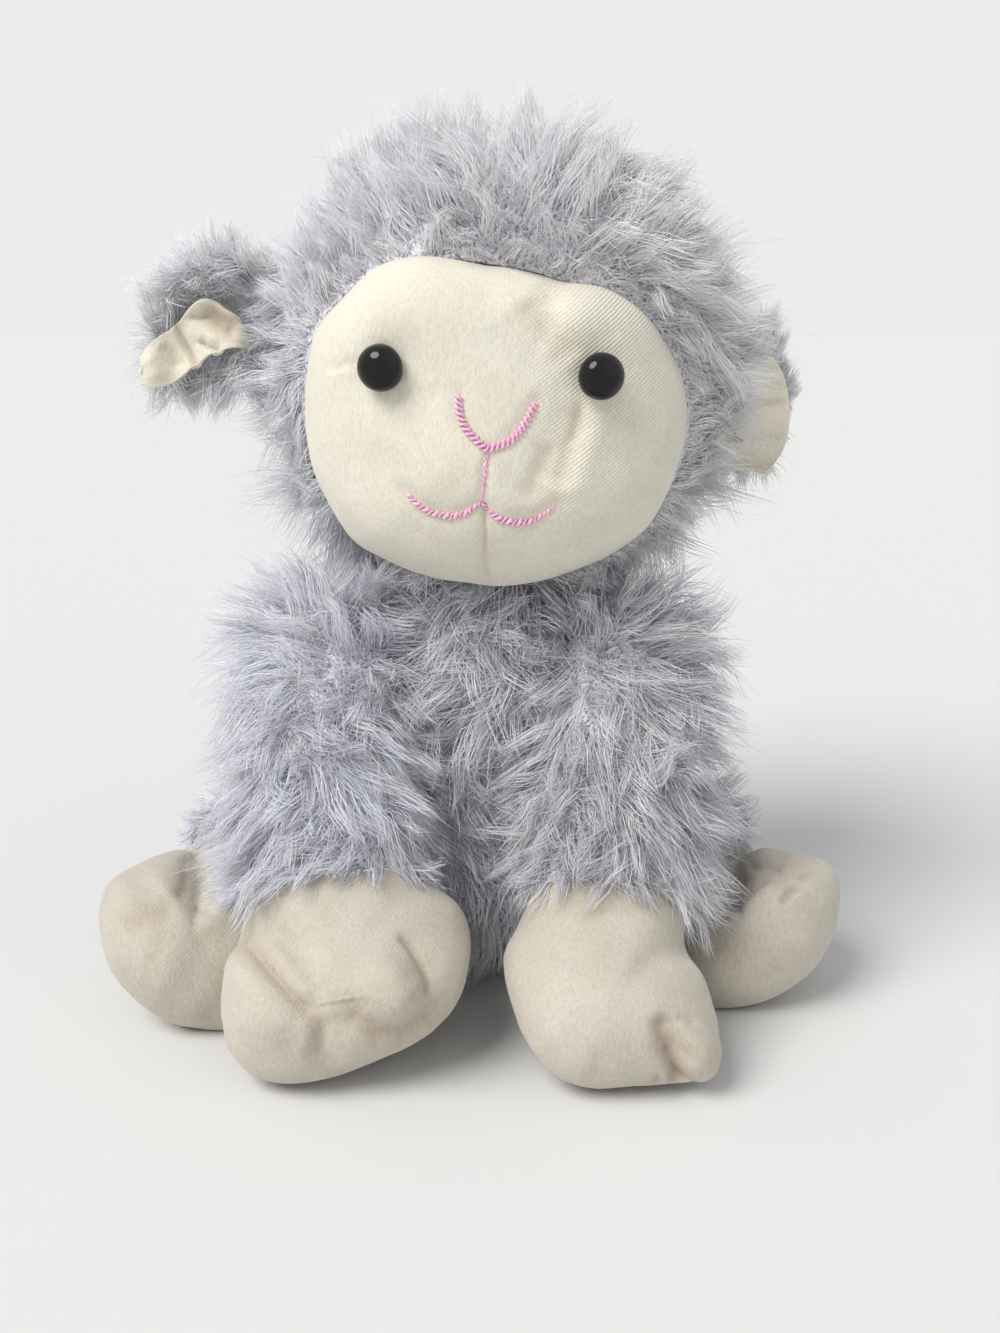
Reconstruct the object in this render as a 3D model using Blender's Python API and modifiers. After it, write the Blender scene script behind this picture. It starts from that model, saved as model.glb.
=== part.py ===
"""A sitting plush sheep: sewn covers over stuffing, with safety eyes and embroidered features.

Metres, +Z up. The toy sits on z = 0 and looks along -Y, so its own left side is +X.
A furred cover is modelled as thick as its cloth and combed pile together, so its outer
face is the mean height of the pile. Run with: blender --background --python part.py
"""

import math

import bmesh
import bpy
from mathutils import Matrix, Vector

# Clearances and walls
seam_gap = 0.0004          # between pieces that are sewn or packed together
joint_gap = 0.0007         # between a limb and the body it swings against
fur_height = 0.008         # mean pile above the skin line
fur_backing = 0.003        # cloth and seam allowance under the skin line
plush_wall = 0.0026        # short-pile cloth of the face and feet
cut_overrun = 0.010        # how far a cutter passes the piece that it cuts
cut_reach = 0.300          # side of the blocks that cut flat planes
panel_seat = 0.0008        # from the panel's outer face to the eye's flange
washer_seat = 0.0016       # below the panel's inner face, measured from the eye's flange
sole_sink = 0.0012         # how far a form dips below the floor before it is cut flat

# Torso, measured on the skin line
torso_height = 0.112
torso_half_width = 0.055
torso_front = 0.041
torso_back = 0.045
torso_centre_y = 0.017
flank_half_width = 0.0505  # flat where the hind legs are sewn on
flank_draw = 0.0013        # how far its rounded edges draw the flank's middle inward

# Neck
neck_y = 0.007
neck_x = 0.004
neck_height = 0.1185
neck_radius = 0.0225
neck_reach_up = 0.025
neck_base_cut = 0.1270     # height of the hood's lower edge
neck_opening = 0.0090      # between the body's upper edge and the hood, filled by the neck

# Head, measured on the skin line
head_x = 0.008
head_y = -0.001
head_z = 0.1855
head_half_width = 0.058
head_half_depth = 0.053
head_half_height = 0.0575

# Face panel
face_x = 0.007
face_z = 0.1755
face_half_width = 0.0535
face_half_height = 0.0455
face_rise = 0.036          # how far the middle stands in front of its side seam
face_seam_y = -0.018
brow_lean = 0.022          # how far the top seam lies in front of the side seams
chin_lean = 0.002
muzzle_rise = 0.0035
muzzle_radius = 0.022
face_window_back = -0.006  # the hood's opening is cut forward of this plane
face_window_flare = 0.010  # outward from the seam, over which the hood's pile gains its height
face_window_rise = 0.008   # forward of the seam, over the same stretch

# Safety eyes and their lock washers
eye_radius = 0.0061
eye_height = 0.0052
eye_flange = 0.0009
shank_radius = 0.0017
shank_length = 0.0125
rib_radius = 0.0021
rib_pitch = 0.0024
washer_radius = 0.0062
washer_thickness = 0.0013
washer_bore = 0.0026
washer_slot_width = 0.0009
washer_slot_reach = 0.0021

# Embroidery
nose_thread = 0.0010
mouth_thread = 0.0008
thread_lift = 0.0009       # thread above the curved panel, enough to clear its facets

# Ears
ear_length = 0.045
ear_half_width = 0.0175
ear_cup = 0.0055
ear_fur = 0.0065
ear_lining_wall = 0.0024
ear_root_radius = 0.0048
ear_root_length = 0.018
ear_root = {
    "left": {"y": 0.008, "z": 0.180},
    "right": {"y": 0.004, "z": 0.203},
}
ear_lean_degrees = {"left": 14.0, "right": 33.0}    # below the horizontal
ear_sweep_degrees = {"left": 48.0, "right": 2.0}    # back from straight out
ear_twist_degrees = {"left": 0.0, "right": 12.0}    # turns the lining down at the tip

# Front legs
shoulder = {
    "left": {"x": 0.0445, "y": -0.006, "z": 0.1135},
    "right": {"x": -0.0430, "y": -0.006, "z": 0.1145},
}
wrist = {
    "left": {"x": 0.0395, "y": -0.050, "z": 0.0440},
    "right": {"x": -0.0400, "y": -0.050, "z": 0.0470},
}
front_ball = {
    "left": {"x": 0.0390, "y": -0.070, "z": 0.0225},
    "right": {"x": -0.0355, "y": -0.070, "z": 0.0235},
}
front_toe = {
    "left": {"x": 0.0395, "y": -0.0985, "z": 0.0200},
    "right": {"x": -0.0370, "y": -0.0980, "z": 0.0210},
}
sleeve_half_width = {"left": 0.0175, "right": 0.0180}
sleeve_half_depth = 0.0165
front_foot_half_width = {"left": 0.0310, "right": 0.0345}
front_foot_half_height = {"left": 0.0228, "right": 0.0238}
shoulder_pivot_y = -0.010
shoulder_pivot_z = 0.101

# Hind legs
hip = {
    "left": {"x": 0.0440, "y": 0.018, "z": 0.0345},
    "right": {"x": -0.0440, "y": 0.016, "z": 0.0345},
}
ankle = {
    "left": {"x": 0.0730, "y": -0.003, "z": 0.0315},
    "right": {"x": -0.0745, "y": -0.009, "z": 0.0315},
}
hind_ball = {
    "left": {"x": 0.0860, "y": -0.022, "z": 0.0240},
    "right": {"x": -0.0890, "y": -0.035, "z": 0.0245},
}
hind_toe = {
    "left": {"x": 0.0890, "y": -0.0520, "z": 0.0210},
    "right": {"x": -0.0935, "y": -0.0660, "z": 0.0210},
}
thigh_half_width = 0.0165
thigh_half_depth = 0.0175
hind_foot_half_width = 0.0262
hind_foot_half_height = 0.0242
hip_pivot_y = 0.014
hip_pivot_z = 0.0345

# Tail
tail_length = 0.030
tail_half_width = 0.0105
tail_root_radius = 0.0075
tail_root_y = 0.0685
tail_root_z = 0.038
tail_lean_degrees = 38.0

# Seat bag of pellets
bag_half_width = 0.040
bag_half_depth = 0.031
bag_half_height = 0.0105
bag_height = 0.0215

# How far the limbs swing, in degrees; they are trimmed to clear the body over it
shoulder_range_degrees = (0.0, 45.0)
hip_range_degrees = (0.0, 16.0)
swing_steps = 4            # how often the body is cut from a limb over its swing

# Counts that set how fine the forms are
form_sides = 12
leg_sides = 10
face_sides = 32
small_sides = 16
ball_rows = 7
washer_slots = 6

# Shares of the torso's half sizes and height, from the seat up:
# height, half width, front, back, and how far the middle moves back
torso_shares = [
    (-0.010, 0.62, 0.52, 0.66, 0.00),
    (0.075, 0.90, 0.84, 0.90, 0.00),
    (0.250, 1.02, 1.00, 1.00, 0.00),
    (0.450, 0.97, 1.00, 0.98, 0.00),
    (0.640, 0.74, 0.88, 0.84, 0.00),
    (0.800, 0.64, 0.82, 0.68, -0.05),
    (0.930, 0.60, 0.76, 0.60, -0.12),
    (1.040, 0.44, 0.54, 0.44, -0.16),
]
torso_crown_shares = (-0.16, 1.06)  # how far back and how high the top lies

# Shares of the path from shoulder (0) over wrist (1) and ball (2) to toe (3), and of the
# half sizes there
front_leg_shares = [
    (0.035, 0.60, 0.62),
    (0.170, 0.90, 0.92),
    (0.420, 1.00, 1.02),
    (0.720, 1.04, 1.03),
    (1.000, 1.00, 0.96),
    (1.220, 0.93, 0.95),
    (1.500, 1.00, 0.96),
    (1.950, 1.02, 1.00),
    (2.450, 0.97, 0.94),
    (2.830, 0.68, 0.68),
]
hind_leg_shares = [
    (0.060, 0.70, 0.70),
    (0.300, 0.98, 0.96),
    (0.650, 1.04, 1.02),
    (1.000, 1.00, 0.98),
    (1.450, 0.92, 0.90),
    (1.950, 1.02, 1.00),
    (2.480, 0.90, 0.88),
    (2.840, 0.58, 0.60),
]
tail_shares = [
    (0.10, 0.60),
    (0.30, 0.74),
    (0.55, 0.98),
    (0.80, 0.92),
    (0.94, 0.58),
]
tail_flat_share = 0.8
ear_width_shares = [0.50, 0.72, 0.92, 1.00, 0.97, 0.80, 0.46]
ear_column_shares = [-1.0, -0.68, -0.34, 0.0, 0.34, 0.68, 1.0]
ear_bend_share = 0.42
ear_tip_share = 0.12
ear_lining_from_share = 0.16
ear_lining_to_share = 0.86

# Where the eyes and the stitching lie on the face, as shares of its half sizes
eye_shares = {"right": (-0.545, 0.345), "left": (0.495, 0.300)}
nose_shares = [
    (-0.20, 0.21), (-0.19, 0.12), (-0.175, 0.04), (-0.14, -0.02), (-0.10, -0.07), (-0.04, -0.11),
    (0.02, -0.10), (0.08, -0.06), (0.13, 0.01), (0.165, 0.08), (0.19, 0.16),
]
philtrum_shares = [(-0.055, -0.20), (-0.06, -0.27), (-0.07, -0.35), (-0.075, -0.42)]
mouth_shares = [
    (-0.47, -0.44), (-0.42, -0.51), (-0.34, -0.56), (-0.24, -0.575), (-0.15, -0.55),
    (-0.08, -0.50), (-0.01, -0.56), (0.07, -0.60), (0.17, -0.605), (0.24, -0.57), (0.30, -0.52),
]
face_outline_power = 2.3
face_dome_power = 2.6
face_ring_shares = (0.22, 0.42, 0.60, 0.75, 0.87, 0.95, 1.0)
face_stuffing_shares = (0.30, 0.55, 0.76, 0.90)
dome_slack_share = 1.15    # the stuffing's inset, so that its coarse facets clear the panel
muzzle_drop_share = 0.3
path_step_share = 0.02     # over which a heading or a normal is taken
root_pole_share = 0.01     # how far a leg's closed end lies before its first ring
foot_swell_share = 0.45    # past the wrist, where the foot has its full size
sleeve_end_share = 1.5     # of the path, where a sleeve is long enough to be cut at its seam
eye_rim_share = 0.97
rib_crest_share = 0.3
rib_foot_share = 0.8
washer_dish_share = 0.2
neck_top_share = 0.8
neck_bevel_share = 0.85
eye_dome_shares = [(1.0, 0.0), (0.985, 0.20), (0.92, 0.45), (0.76, 0.70), (0.50, 0.90), (0.24, 0.98)]

lilac_fur = ("lilac_fur", (0.44, 0.44, 0.53, 1.0), 0.75, 0.0)
cream_plush = ("cream_plush", (0.84, 0.79, 0.67, 1.0), 0.90, 0.0)
stuffing = ("white_stuffing", (0.86, 0.86, 0.84, 1.0), 0.95, 0.0)
pellet_cloth = ("pellet_bag_cloth", (0.70, 0.70, 0.68, 1.0), 0.90, 0.0)
black_gloss = ("black_gloss_plastic", (0.006, 0.006, 0.007, 1.0), 0.06, 0.0)
washer_plastic = ("washer_plastic", (0.80, 0.80, 0.78, 1.0), 0.45, 0.0)
light_thread = ("light_pink_thread", (0.75, 0.28, 0.45, 1.0), 0.50, 0.0)
deep_thread = ("deep_pink_thread", (0.48, 0.07, 0.15, 1.0), 0.50, 0.0)

sides_of_toy = {"left": 1.0, "right": -1.0}
up = Vector((0.0, 0.0, 1.0))
ahead = Vector((0.0, -1.0, 0.0))
across = Vector((1.0, 0.0, 0.0))


def clear_scene():
    for obj in list(bpy.data.objects):
        bpy.data.objects.remove(obj, do_unlink=True)


def new_collection(name):
    made = bpy.data.collections.new(name)
    bpy.context.scene.collection.children.link(made)
    return made


def material(finish):
    name, colour, roughness, metallic = finish
    if name in bpy.data.materials:
        return bpy.data.materials[name]
    made = bpy.data.materials.new(name)
    made.use_nodes = True
    made.diffuse_color = colour
    shader = made.node_tree.nodes["Principled BSDF"]
    shader.inputs["Base Color"].default_value = colour
    shader.inputs["Roughness"].default_value = roughness
    shader.inputs["Metallic"].default_value = metallic
    return made


def place(name, mesh, finish):
    """A finished piece in the toy's collection, or a hidden cutter where finish is None."""
    obj = bpy.data.objects.new(name, mesh)
    if finish is None:
        cutters.objects.link(obj)
        obj.hide_render = True
        obj.display_type = "WIRE"
    else:
        toy.objects.link(obj)
        obj.data.materials.append(material(finish))
    return obj


def mesh_of(bm, name, smooth=True):
    bmesh.ops.recalc_face_normals(bm, faces=bm.faces)
    for face in bm.faces:
        face.smooth = smooth
    mesh = bpy.data.meshes.new(name)
    bm.to_mesh(mesh)
    bm.free()
    return mesh


def at(where):
    return Vector((where["x"], where["y"], where["z"]))


def along(points, t):
    """A smooth path through the points; t counts them from 0."""
    last = len(points) - 1
    i = min(int(t), last - 1)
    share = t - i
    before = points[i - 1] if i > 0 else 2 * points[0] - points[1]
    after = points[i + 2] if i + 2 <= last else 2 * points[last] - points[last - 1]
    here, there = points[i], points[i + 1]
    return 0.5 * (
        2 * here
        + (there - before) * share
        + (2 * before - 5 * here + 4 * there - after) * share ** 2
        + (3 * here - before - 3 * there + after) * share ** 3
    )


def heading(points, t):
    step = path_step_share
    ends = max(t - step, 0.0), min(t + step, len(points) - 1.0)
    return (along(points, ends[1]) - along(points, ends[0])).normalized()


def settled(rings, poles):
    """The rings where one round of subdivision would draw them, for a hidden inner form."""
    whole = [[poles[0]] * len(rings[0])] + rings + [[poles[1]] * len(rings[0])]
    drawn = []
    for before, ring, after in zip(whole, whole[1:], whole[2:]):
        centre = sum(ring, Vector()) / len(ring)
        hold = 1.0 / cage_swell(len(ring))
        drawn.append([
            0.75 * (centre + (spot - centre) * hold) + 0.125 * (low + high)
            for low, spot, high in zip(before, ring, after)
        ])
    return drawn


def soft_form(name, rings, poles, grow, finish):
    """A closed cage through the rings, grown along its normals.

    An outer form is subdivided once. An inner one, with a negative growth, stays coarse.
    """
    inner = grow < 0.0
    if inner:
        rings = settled(rings, poles)
    bm = bmesh.new()
    loops = [[bm.verts.new(point) for point in ring] for ring in rings]
    count = len(loops[0])
    for low, high in zip(loops, loops[1:]):
        for i in range(count):
            j = (i + 1) % count
            bm.faces.new((low[i], low[j], high[j], high[i]))
    for pole, loop in zip(poles, (loops[0], loops[-1])):
        tip = bm.verts.new(pole)
        for i in range(count):
            bm.faces.new((tip, loop[i], loop[(i + 1) % count]))
    bmesh.ops.recalc_face_normals(bm, faces=bm.faces)
    bm.normal_update()
    moved = [(vert, vert.co + vert.normal * grow) for vert in bm.verts]
    for vert, spot in moved:
        vert.co = spot
    if inner:
        bmesh.ops.triangulate(bm, faces=bm.faces, quad_method="FIXED")
    obj = place(name, mesh_of(bm, name), finish)
    if not inner:
        round_off(obj)
    return obj


def round_off(obj):
    rounding = obj.modifiers.new("rounding", "SUBSURF")
    rounding.levels = 1
    rounding.render_levels = 1


def cage_swell(sides):
    """One round of subdivision draws a ring of this many sides inward; this undoes it."""
    return 1.0 / (0.75 + 0.25 * math.cos(2.0 * math.pi / sides))


def ring_at(centre, side, lift, half_side, half_lift, sides):
    swell = cage_swell(sides)
    turns = [2.0 * math.pi * i / sides for i in range(sides)]
    return [
        centre + side * (half_side * swell * math.cos(a)) + lift * (half_lift * swell * math.sin(a))
        for a in turns
    ]


def boolean(obj, cutter, operation="DIFFERENCE"):
    change = obj.modifiers.new(cutter.name, "BOOLEAN")
    change.operation = operation
    change.solver = "EXACT"
    change.object = cutter


def block(name, low, high):
    """A hidden cutting block between two corners."""
    bm = bmesh.new()
    bmesh.ops.create_cube(bm, size=1.0)
    low, high = Vector(low), Vector(high)
    middle, span = (low + high) / 2.0, high - low
    for vert in bm.verts:
        vert.co = Vector((vert.co[i] * span[i] + middle[i] for i in range(3)))
    return place(name, mesh_of(bm, name, smooth=False), None)


def beyond_plane(name, point, normal):
    """A hidden block that fills the space in front of a plane."""
    bm = bmesh.new()
    bmesh.ops.create_cube(bm, size=1.0)
    for vert in bm.verts:
        vert.co = (vert.co + Vector((0.0, 0.0, 0.5))) * cut_reach
    obj = place(name, mesh_of(bm, name, smooth=False), None)
    obj.rotation_mode = "QUATERNION"
    obj.rotation_quaternion = normal.to_track_quat("Z", "Y")
    obj.location = point
    return obj


def rod(name, start, direction, length, radius, finish, sides):
    """A plain round rod from start along a direction."""
    bm = bmesh.new()
    bmesh.ops.create_cone(
        bm, cap_ends=True, segments=sides, radius1=radius, radius2=radius, depth=length
    )
    bmesh.ops.translate(bm, verts=bm.verts, vec=(0.0, 0.0, length / 2.0))
    obj = place(name, mesh_of(bm, name, smooth=False), finish)
    obj.rotation_mode = "QUATERNION"
    obj.rotation_quaternion = direction.to_track_quat("Z", "Y")
    obj.location = start
    return obj


def ball(name, centre, radii, finish, sides, fine=True):
    """An ellipsoid from a UV sphere; a fine one is subdivided once."""
    bm = bmesh.new()
    bmesh.ops.create_uvsphere(bm, u_segments=sides, v_segments=sides // 2 + 2, radius=1.0)
    swell = cage_swell(sides) if fine else 1.0
    for vert in bm.verts:
        spread = Vector((vert.co[i] * radii[i] * swell for i in range(3)))
        vert.co = spread + centre
    obj = place(name, mesh_of(bm, name), finish)
    if fine:
        round_off(obj)
    return obj


def turned(name, profile, centre, direction, finish):
    """A profile of (radius, height) pairs, outer side from top to bottom, spun about its axis."""
    mesh = bpy.data.meshes.new(name)
    points = [(radius, 0.0, height) for radius, height in profile]
    mesh.from_pydata(points, [(i, i + 1) for i in range(len(points) - 1)], [])
    obj = place(name, mesh, finish)
    spin = obj.modifiers.new("turning", "SCREW")
    spin.steps = small_sides
    spin.render_steps = small_sides
    spin.use_merge_vertices = True
    spin.merge_threshold = 0.00001
    spin.use_smooth_shade = True
    obj.rotation_mode = "QUATERNION"
    obj.rotation_quaternion = direction.to_track_quat("Z", "Y")
    obj.location = centre
    return obj


def thread(name, points, radius, finish):
    """A round thread through the points, as a bevelled curve."""
    curve = bpy.data.curves.new(name, "CURVE")
    curve.dimensions = "3D"
    curve.bevel_depth = radius
    curve.bevel_resolution = 1
    curve.use_fill_caps = True
    spline = curve.splines.new("POLY")
    spline.points.add(len(points) - 1)
    for knot, point in zip(spline.points, points):
        knot.co = (*point, 1.0)
    obj = bpy.data.objects.new(name, curve)
    toy.objects.link(obj)
    curve.materials.append(material(finish))
    return obj


def joint(name, pivot, axis, pieces):
    """An empty on a joint's axis, with its X along it, that carries the pieces that turn there."""
    empty = bpy.data.objects.new(name, None)
    toy.objects.link(empty)
    empty.matrix_world = Matrix.Translation(pivot) @ axis.to_track_quat("X", "Z").to_matrix().to_4x4()
    for piece in pieces:
        piece.parent = empty
        piece.matrix_parent_inverse = empty.matrix_world.inverted()
    return empty


# Torso

def torso_form(name, grow, finish):
    rings = []
    swell = cage_swell(form_sides)
    for height, width, front, back, shift in torso_shares:
        level = height * torso_height
        middle = torso_centre_y + shift * torso_back
        ring = []
        for i in range(form_sides):
            turn = 2.0 * math.pi * i / form_sides
            depth = back * torso_back if math.sin(turn) > 0.0 else front * torso_front
            x = width * torso_half_width * swell * math.cos(turn)
            x = max(-flank_half_width, min(flank_half_width, x))
            ring.append(Vector((x, middle + depth * swell * math.sin(turn), level)))
        rings.append(ring)
    low = Vector((0.0, torso_centre_y, -sole_sink))
    shift, crown = torso_crown_shares
    high = Vector((0.0, torso_centre_y + shift * torso_back, torso_height * crown))
    return soft_form(name, rings, (low, high), grow, finish)


def make_torso():
    cover = torso_form("body_cover", fur_height, lilac_fur)
    boolean(cover, torso_form("body_cavity", -fur_backing, None))
    boolean(cover, floor)
    collar = Vector((neck_x, neck_y, neck_base_cut - neck_opening))
    above = beyond_plane("above_collar", collar, up)
    boolean(cover, above)
    neck = Vector((neck_x, neck_y, neck_height))
    hole = neck_radius + 2.0 * joint_gap
    boolean(cover, ball("neck_socket", neck, (hole, hole, hole), None, form_sides))
    filling = torso_form("body_filling", -fur_backing - seam_gap, stuffing)
    boolean(filling, above)
    boolean(filling, bpy.data.objects["neck_socket"])
    middle = Vector((0.0, torso_centre_y, bag_height))
    room = (bag_half_width + seam_gap, bag_half_depth + seam_gap, bag_half_height + seam_gap)
    boolean(filling, ball("bag_room", middle, room, None, form_sides, False))
    boolean(filling, block(
        "bag_floor",
        (-cut_reach, -cut_reach, -cut_reach),
        (cut_reach, cut_reach, bag_height),
    ))
    halves = (bag_half_width, bag_half_depth, bag_half_height)
    ball("seat_pellet_bag", middle, halves, pellet_cloth, form_sides, False)
    root = Vector((0.0, tail_root_y, tail_root_z))
    room = tail_root_radius + joint_gap
    boolean(cover, ball("tail_socket", root, (room, room, room), None, form_sides))


def trim_to_body(name, pieces, pivot, swing_degrees):
    """Cuts pieces back from the body where it stands at rest and over the joint's swing."""
    low, high = swing_degrees
    for step in range(swing_steps):
        turn = math.radians(low + (high - low) * step / (swing_steps - 1))
        body = torso_form(f"{name}_body_room_{step}", fur_height + joint_gap, None)
        body.matrix_world = (
            Matrix.Translation(pivot)
            @ Matrix.Rotation(turn, 4, "X")
            @ Matrix.Translation(-pivot)
        )
        for piece in pieces:
            boolean(piece, body)


# Legs

def leg_rings(path, shares, sizes, side, first, last):
    """Rings along a leg; sizes gives the half width and half depth at each share of the path."""
    rings = []
    for t, wide, deep in shares:
        if first <= t <= last:
            way = heading(path, t)
            flat = (side - way * side.dot(way)).normalized()
            half_wide, half_deep = sizes(t)
            centre = along(path, t)
            spread = wide * half_wide, deep * half_deep
            rings.append(ring_at(centre, flat, flat.cross(way), *spread, leg_sides))
    return rings


def blend(low, high, share):
    share = max(0.0, min(1.0, share))
    return low + (high - low) * share


def leg_form(name, leg, grow, finish, first=0.0, last=3.0):
    path, shares, sizes, side = leg
    rings = leg_rings(path, shares, sizes, side, first, last)
    poles = (along(path, max(0.0, first - root_pole_share)), along(path, min(3.0, last)))
    return soft_form(name, rings, poles, grow, finish)


def make_leg(kind, name, leg, seam_at):
    """A furred sleeve, a cream foot cover and the stuffing that fills both."""
    path = leg[0]
    seam = along(path, seam_at)
    way = heading(path, seam_at)
    sleeve = leg_form(f"{name}_{kind}_leg_cover", leg, fur_height, lilac_fur, 0.0, sleeve_end_share)
    foot = leg_form(f"{name}_{kind}_foot_cover", leg, 0.0, cream_plush)
    filling = leg_form(f"{name}_{kind}_leg_filling", leg, -fur_backing - seam_gap, stuffing)
    boolean(sleeve, leg_form(f"{name}_{kind}_sleeve_cavity", leg, -fur_backing, None))
    boolean(foot, leg_form(f"{name}_{kind}_foot_cavity", leg, -plush_wall, None))
    boolean(sleeve, beyond_plane(f"{name}_{kind}_below_seam", seam - way * seam_gap / 2.0, way))
    boolean(foot, beyond_plane(f"{name}_{kind}_above_seam", seam + way * seam_gap / 2.0, -way))
    boolean(foot, floor)
    boolean(sleeve, floor)
    return sleeve, foot, filling


def make_front_legs():
    for name in sides_of_toy:
        path = [at(shoulder[name]), at(wrist[name]), at(front_ball[name]), at(front_toe[name])]

        def sizes(t, name=name):
            share = (t - 1.0) / foot_swell_share
            return (
                blend(sleeve_half_width[name], front_foot_half_width[name], share),
                blend(sleeve_half_depth, front_foot_half_height[name], share),
            )

        leg = (path, front_leg_shares, sizes, across)
        pivot = Vector((shoulder[name]["x"], shoulder_pivot_y, shoulder_pivot_z))
        pieces = make_leg("front", name, leg, 1.0)
        trim_to_body(name, pieces, pivot, shoulder_range_degrees)
        joint(f"{name}_shoulder_joint", pivot, across, pieces)


def make_hind_legs():
    for name, sign in sides_of_toy.items():
        path = [at(hip[name]), at(ankle[name]), at(hind_ball[name]), at(hind_toe[name])]

        def sizes(t):
            share = (t - 1.0) / foot_swell_share
            return (
                blend(thigh_half_width, hind_foot_half_width, share),
                blend(thigh_half_depth, hind_foot_half_height, share),
            )

        side = (path[3] - path[0]).cross(up).normalized()
        leg = (path, hind_leg_shares, sizes, side)
        pieces = make_leg("hind", name, leg, 1.0)
        flank = flank_half_width - flank_draw + fur_height + joint_gap
        inner = beyond_plane(f"{name}_inside_flank", Vector((sign * flank, 0.0, 0.0)), across * -sign)
        for piece in pieces:
            boolean(piece, inner)
        pivot = Vector((sign * flank_half_width, hip_pivot_y, hip_pivot_z))
        joint(f"{name}_hip_joint", pivot, across, pieces)


# Head

def face_norm(dx, dz):
    power = face_outline_power
    return (abs(dx / face_half_width) ** power + abs(dz / face_half_height) ** power) ** (1.0 / power)


def face_surface(x, z):
    """The point of the panel's outer face in front of (x, z)."""
    dx, dz = x - face_x, z - face_z
    reach = min(face_norm(dx, dz), 1.0)
    height_share = dz / face_half_height
    lean = (brow_lean if dz > 0.0 else chin_lean) * height_share ** 2
    dome = face_rise * math.sqrt(max(0.0, 1.0 - reach ** face_dome_power))
    low = dz + muzzle_drop_share * face_half_height
    muzzle = muzzle_rise * math.exp(-(dx ** 2 + low ** 2) / muzzle_radius ** 2)
    return Vector((x, face_seam_y - lean - dome - muzzle * (1.0 - reach ** 2), z))


def face_spot(share_x, share_z):
    return face_surface(face_x + share_x * face_half_width, face_z + share_z * face_half_height)


def face_normal(share_x, share_z):
    step = path_step_share
    right = face_spot(share_x + step, share_z) - face_spot(share_x - step, share_z)
    rise = face_spot(share_x, share_z + step) - face_spot(share_x, share_z - step)
    return right.cross(rise).normalized()


def face_edge(turn, grow=0.0):
    """A point of the face's outline, in the plane of the eyes."""
    power = face_outline_power
    c, s = math.cos(turn), math.sin(turn)
    dx = math.copysign(abs(c) ** (2.0 / power), c) * (face_half_width + grow)
    dz = math.copysign(abs(s) ** (2.0 / power), s) * (face_half_height + grow)
    return face_x + dx, face_z + dz


def make_face_panel():
    """Rings from the middle of the face out to its seam, thickened inward."""
    bm = bmesh.new()
    middle = bm.verts.new(face_surface(face_x, face_z))
    rows = []
    for reach in face_ring_shares:
        row = []
        for i in range(face_sides):
            x, z = face_edge(2.0 * math.pi * i / face_sides)
            row.append(bm.verts.new(face_surface(blend(face_x, x, reach), blend(face_z, z, reach))))
        rows.append(row)
    for i in range(face_sides):
        bm.faces.new((middle, rows[0][i], rows[0][(i + 1) % face_sides]))
    for low, high in zip(rows, rows[1:]):
        for i in range(face_sides):
            j = (i + 1) % face_sides
            bm.faces.new((low[i], high[i], high[j], low[j]))
    for face in bm.faces:
        face.smooth = True
    bm.normal_update()
    if sum(face.normal.y for face in bm.faces) > 0.0:
        bmesh.ops.reverse_faces(bm, faces=bm.faces)
    mesh = bpy.data.meshes.new("face_panel")
    bm.to_mesh(mesh)
    bm.free()
    panel = place("face_panel", mesh, cream_plush)
    wall = panel.modifiers.new("cloth", "SOLIDIFY")
    wall.thickness = plush_wall
    wall.offset = -1.0
    wall.use_even_offset = False
    return panel


def face_window():
    """A prism of the face's outline that opens the hood, flared where the pile thins to the seam."""
    bm = bmesh.new()
    rings = [[], [], [], []]
    for i in range(face_sides):
        turn = 2.0 * math.pi * i / face_sides
        x, z = face_edge(turn, seam_gap)
        wide_x, wide_z = face_edge(turn, seam_gap + face_window_flare)
        seam_y = face_surface(x, z).y
        spots = (
            (x, face_window_back, z),
            (x, seam_y, z),
            (wide_x, seam_y - face_window_rise, wide_z),
            (wide_x, -cut_reach, wide_z),
        )
        for ring, spot in zip(rings, spots):
            ring.append(bm.verts.new(spot))
    bm.faces.new(rings[0])
    bm.faces.new(rings[-1])
    for low, high in zip(rings, rings[1:]):
        for i in range(face_sides):
            j = (i + 1) % face_sides
            bm.faces.new((low[i], low[j], high[j], high[i]))
    return place("face_window", mesh_of(bm, "face_window", smooth=False), None)


def head_form(name, grow, finish):
    centre = Vector((head_x, head_y, head_z))
    radii = (head_half_width + grow, head_half_depth + grow, head_half_height + grow)
    return ball(name, centre, radii, finish, form_sides, grow > 0.0)


def make_eye(name, share_x, share_z):
    """A domed safety eye whose ribbed shank passes the panel into its lock washer."""
    outward = face_normal(share_x, share_z)
    seat = face_spot(share_x, share_z) + outward * panel_seat
    profile = [(0.0, eye_flange + eye_height)]
    for out, rise in reversed(eye_dome_shares):
        profile.append((out * eye_radius, eye_flange + rise * eye_height))
    profile.append((eye_rim_share * eye_radius, 0.0))
    profile.append((shank_radius, 0.0))
    ribs = int((shank_length - washer_thickness) / rib_pitch)
    for i in range(ribs):
        top = -plush_wall - washer_seat - i * rib_pitch
        if top - rib_pitch < -shank_length:
            break
        profile.append((shank_radius, top))
        profile.append((rib_radius, top - rib_crest_share * rib_pitch))
        profile.append((shank_radius, top - rib_foot_share * rib_pitch))
    profile.append((shank_radius, -shank_length))
    profile.append((0.0, -shank_length))
    turned(f"{name}_eye", profile, seat, outward, black_gloss)
    make_washer(name, seat - outward * (plush_wall + washer_seat), outward)
    return seat, outward


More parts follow.
